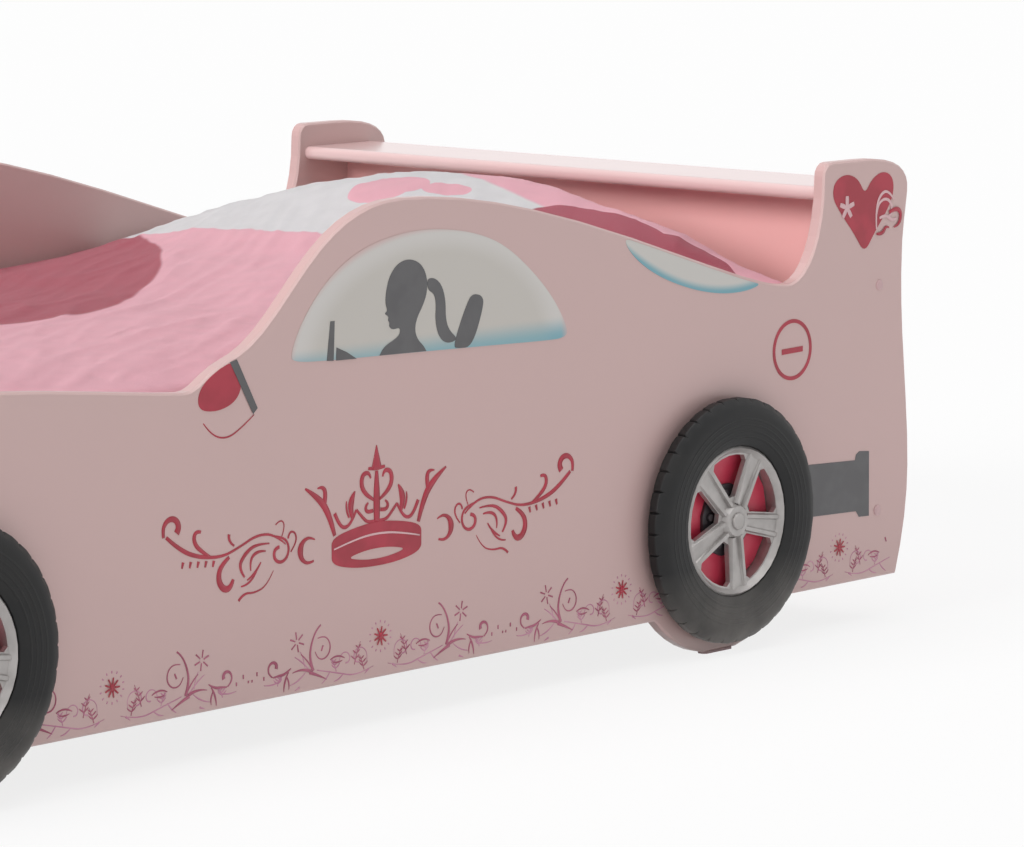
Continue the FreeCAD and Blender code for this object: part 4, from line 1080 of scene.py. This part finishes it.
def make_mattress():
    """A foam mattress: faces quilted in lozenges, drawn-in sides and two taped edges."""
    lozenge, stitch_depth = 0.11, 0.005
    low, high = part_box("mattress")
    piece = remeshed(lifted_copy("mattress", "mattress_pad"), voxel=0.016)
    middle_z = (low.z + high.z) / 2
    half = (high.z - low.z) / 2
    for vertex in piece.data.vertices:
        point = vertex.co
        share = (point.z - middle_z) / half
        inset = 0.006 * (1 - share * share)
        edge_x = min(point.x - low.x, high.x - point.x)
        edge_y = min(point.y - low.y, high.y - point.y)
        if min(edge_x, edge_y) < 0.03:
            point.x += inset * (1 if point.x < (low.x + high.x) / 2 else -1) * (1 if edge_x < 0.03 else 0)
            point.y += inset * (1 if point.y < 0 else -1) * (1 if edge_y < 0.03 else 0)
        elif share > 0.9:
            one_way = abs(math.sin(math.pi * (point.x + point.y) / lozenge))
            other_way = abs(math.sin(math.pi * (point.x - point.y) / lozenge))
            point.z -= stitch_depth * (1 - math.sqrt(one_way * other_way))
    smooth(piece, 60)
    piece.data.materials.append(ticking("mattress_ticking", tint(238, 234, 226), tint(196, 204, 214), "X"))
    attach(piece, "mattress")
    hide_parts("mattress")
    tapes = []
    edge_inset = 0.019
    for level in (low.z + edge_inset, high.z - edge_inset):
        bpy.ops.object.select_all(action="DESELECT")
        bpy.ops.mesh.primitive_circle_add(vertices=4, radius=1, location=(0, 0, 0), rotation=(0, 0, 0))
        ring = bpy.context.object
        corners = [(low.x, low.y), (high.x, low.y), (high.x, high.y), (low.x, high.y)]
        for vertex, (x, y) in zip(ring.data.vertices, corners):
            vertex.co = (x, y, level)
        bevel = ring.modifiers.new("round", "BEVEL")
        bevel.affect = "VERTICES"
        bevel.width = 0.045
        bevel.segments = 6
        apply_all(ring)
        select_only(ring)
        bpy.ops.object.convert(target="CURVE")
        ring.data.bevel_depth = 0.0045
        ring.data.bevel_resolution = 2
        bpy.context.view_layer.update()
        tapes.append(to_mesh(ring, "tape"))
    tape = joined("mattress_piping", tapes)
    smooth(tape, 60)
    tape.data.materials.append(webbing_cloth())
    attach(tape, "mattress")


def make_pillow():
    """A filled pillow in a pink case."""
    low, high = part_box("pillow")
    piece = remeshed(lifted_copy("pillow", "pillow_case"), voxel=0.009)

    def held(point):
        return 1.0 if point.z < low.z + 0.004 or point.z > high.z - 0.003 else 0.0

    puffed(piece, pressure=2.0, cap=0.003, held=held)
    for vertex in piece.data.vertices:
        point = vertex.co
        if point.z < high.z - 0.002:
            point.z += 0.0015 * noise.noise(Vector((point.x * 18, point.y * 18, 2.0)))
    modifier = piece.modifiers.new("finer", "SUBSURF")
    modifier.levels = modifier.render_levels = 1
    apply_all(piece)
    for vertex in piece.data.vertices:
        vertex.co.z = max(vertex.co.z, low.z)
    smooth(piece, 80)
    finish = Finish("pillow_cotton", 0.8, Sheen_Weight=0.2)
    cloth = finish.group(weave, Vector=finish.place, Threads=700.0, Colour=tint(240, 178, 196))
    finish.colour(cloth.outputs["Colour"])
    finish.bump(cloth.outputs["Height"], 0.0003)
    piece.data.materials.append(finish.material)
    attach(piece, "pillow")
    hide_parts("pillow")


make_duvet()
make_mattress()
make_pillow()


# ---- Camera, light and floor ----
def place_camera():
    """The photograph's viewing angle; yaw and pitch in radians."""
    yaw, pitch = 0.737970584, 0.138945579
    looking = Vector((math.cos(yaw) * math.cos(pitch), math.sin(yaw) * math.cos(pitch), -math.sin(pitch)))
    data = bpy.data.cameras.new("camera")
    data.sensor_width = 36.0
    data.lens = 175.77
    data.clip_end = 100.0
    camera = bpy.data.objects.new("camera", data)
    camera.location = (-4.02906, -4.45159, 1.15601)
    camera.rotation_mode = "QUATERNION"
    camera.rotation_quaternion = looking.to_track_quat("-Z", "Y")
    scene.collection.objects.link(camera)
    scene.camera = camera


def seen_share(tree):
    """1 for rays that come straight from the camera, off gloss or through glass."""
    path = tree.nodes.new("ShaderNodeLightPath")
    first = tree.nodes.new("ShaderNodeMath")
    first.operation = "MAXIMUM"
    tree.links.new(path.outputs["Is Camera Ray"], first.inputs[0])
    tree.links.new(path.outputs["Is Glossy Ray"], first.inputs[1])
    second = tree.nodes.new("ShaderNodeMath")
    second.operation = "MAXIMUM"
    tree.links.new(first.outputs[0], second.inputs[0])
    tree.links.new(path.outputs["Is Transmission Ray"], second.inputs[1])
    return second.outputs[0]


def light_the_room():
    """A backdrop that is white to the camera and dimmer as light on the bed, and two suns."""
    fill_light, seen_white = 0.32, 1.0
    world = bpy.data.worlds.new("studio")
    world.use_nodes = True
    scene.world = world
    tree = world.node_tree
    backdrop = tree.nodes["Background"]
    backdrop.inputs["Color"].default_value = (1.0, 1.0, 1.0, 1.0)
    level = tree.nodes.new("ShaderNodeMapRange")
    level.inputs[3].default_value = fill_light
    level.inputs[4].default_value = seen_white
    tree.links.new(seen_share(tree), level.inputs[0])
    tree.links.new(level.outputs[0], backdrop.inputs["Strength"])
    for name, power, angle, direction in (("window", 2.0, 22, (0.92, -0.08, -0.36)),
                                          ("ceiling", 1.5, 70, (0.1, -0.05, -1.0))):
        data = bpy.data.lights.new(name, "SUN")
        data.energy = power
        data.angle = math.radians(angle)
        lamp = bpy.data.objects.new(name, data)
        lamp.rotation_mode = "QUATERNION"
        lamp.rotation_quaternion = Vector(direction).to_track_quat("-Z", "Y")
        scene.collection.objects.link(lamp)


def lay_floor():
    """A pale paper floor; what the camera sees of it is part glow and part shaded paper."""
    glow_strength = 0.82
    bpy.ops.object.select_all(action="DESELECT")
    bpy.ops.mesh.primitive_plane_add(size=60, location=(0, 0, 0))
    floor = bpy.context.object
    floor.name = "studio_floor"
    material = bpy.data.materials.new("studio_floor")
    material.use_nodes = True
    tree = material.node_tree
    paper = tree.nodes["Principled BSDF"]
    paper.inputs["Base Color"].default_value = (0.86, 0.86, 0.86, 1)
    paper.inputs["Roughness"].default_value = 0.9
    glow = tree.nodes.new("ShaderNodeEmission")
    share = tree.nodes.new("ShaderNodeMath")
    share.operation = "MULTIPLY"
    share.inputs[1].default_value = glow_strength
    tree.links.new(seen_share(tree), share.inputs[0])
    mix = tree.nodes.new("ShaderNodeMixShader")
    tree.links.new(share.outputs[0], mix.inputs[0])
    tree.links.new(paper.outputs[0], mix.inputs[1])
    tree.links.new(glow.outputs[0], mix.inputs[2])
    tree.links.new(mix.outputs[0], tree.nodes["Material Output"].inputs["Surface"])
    floor.data.materials.append(material)


place_camera()
light_the_room()
lay_floor()
scene.view_settings.view_transform = "Standard"
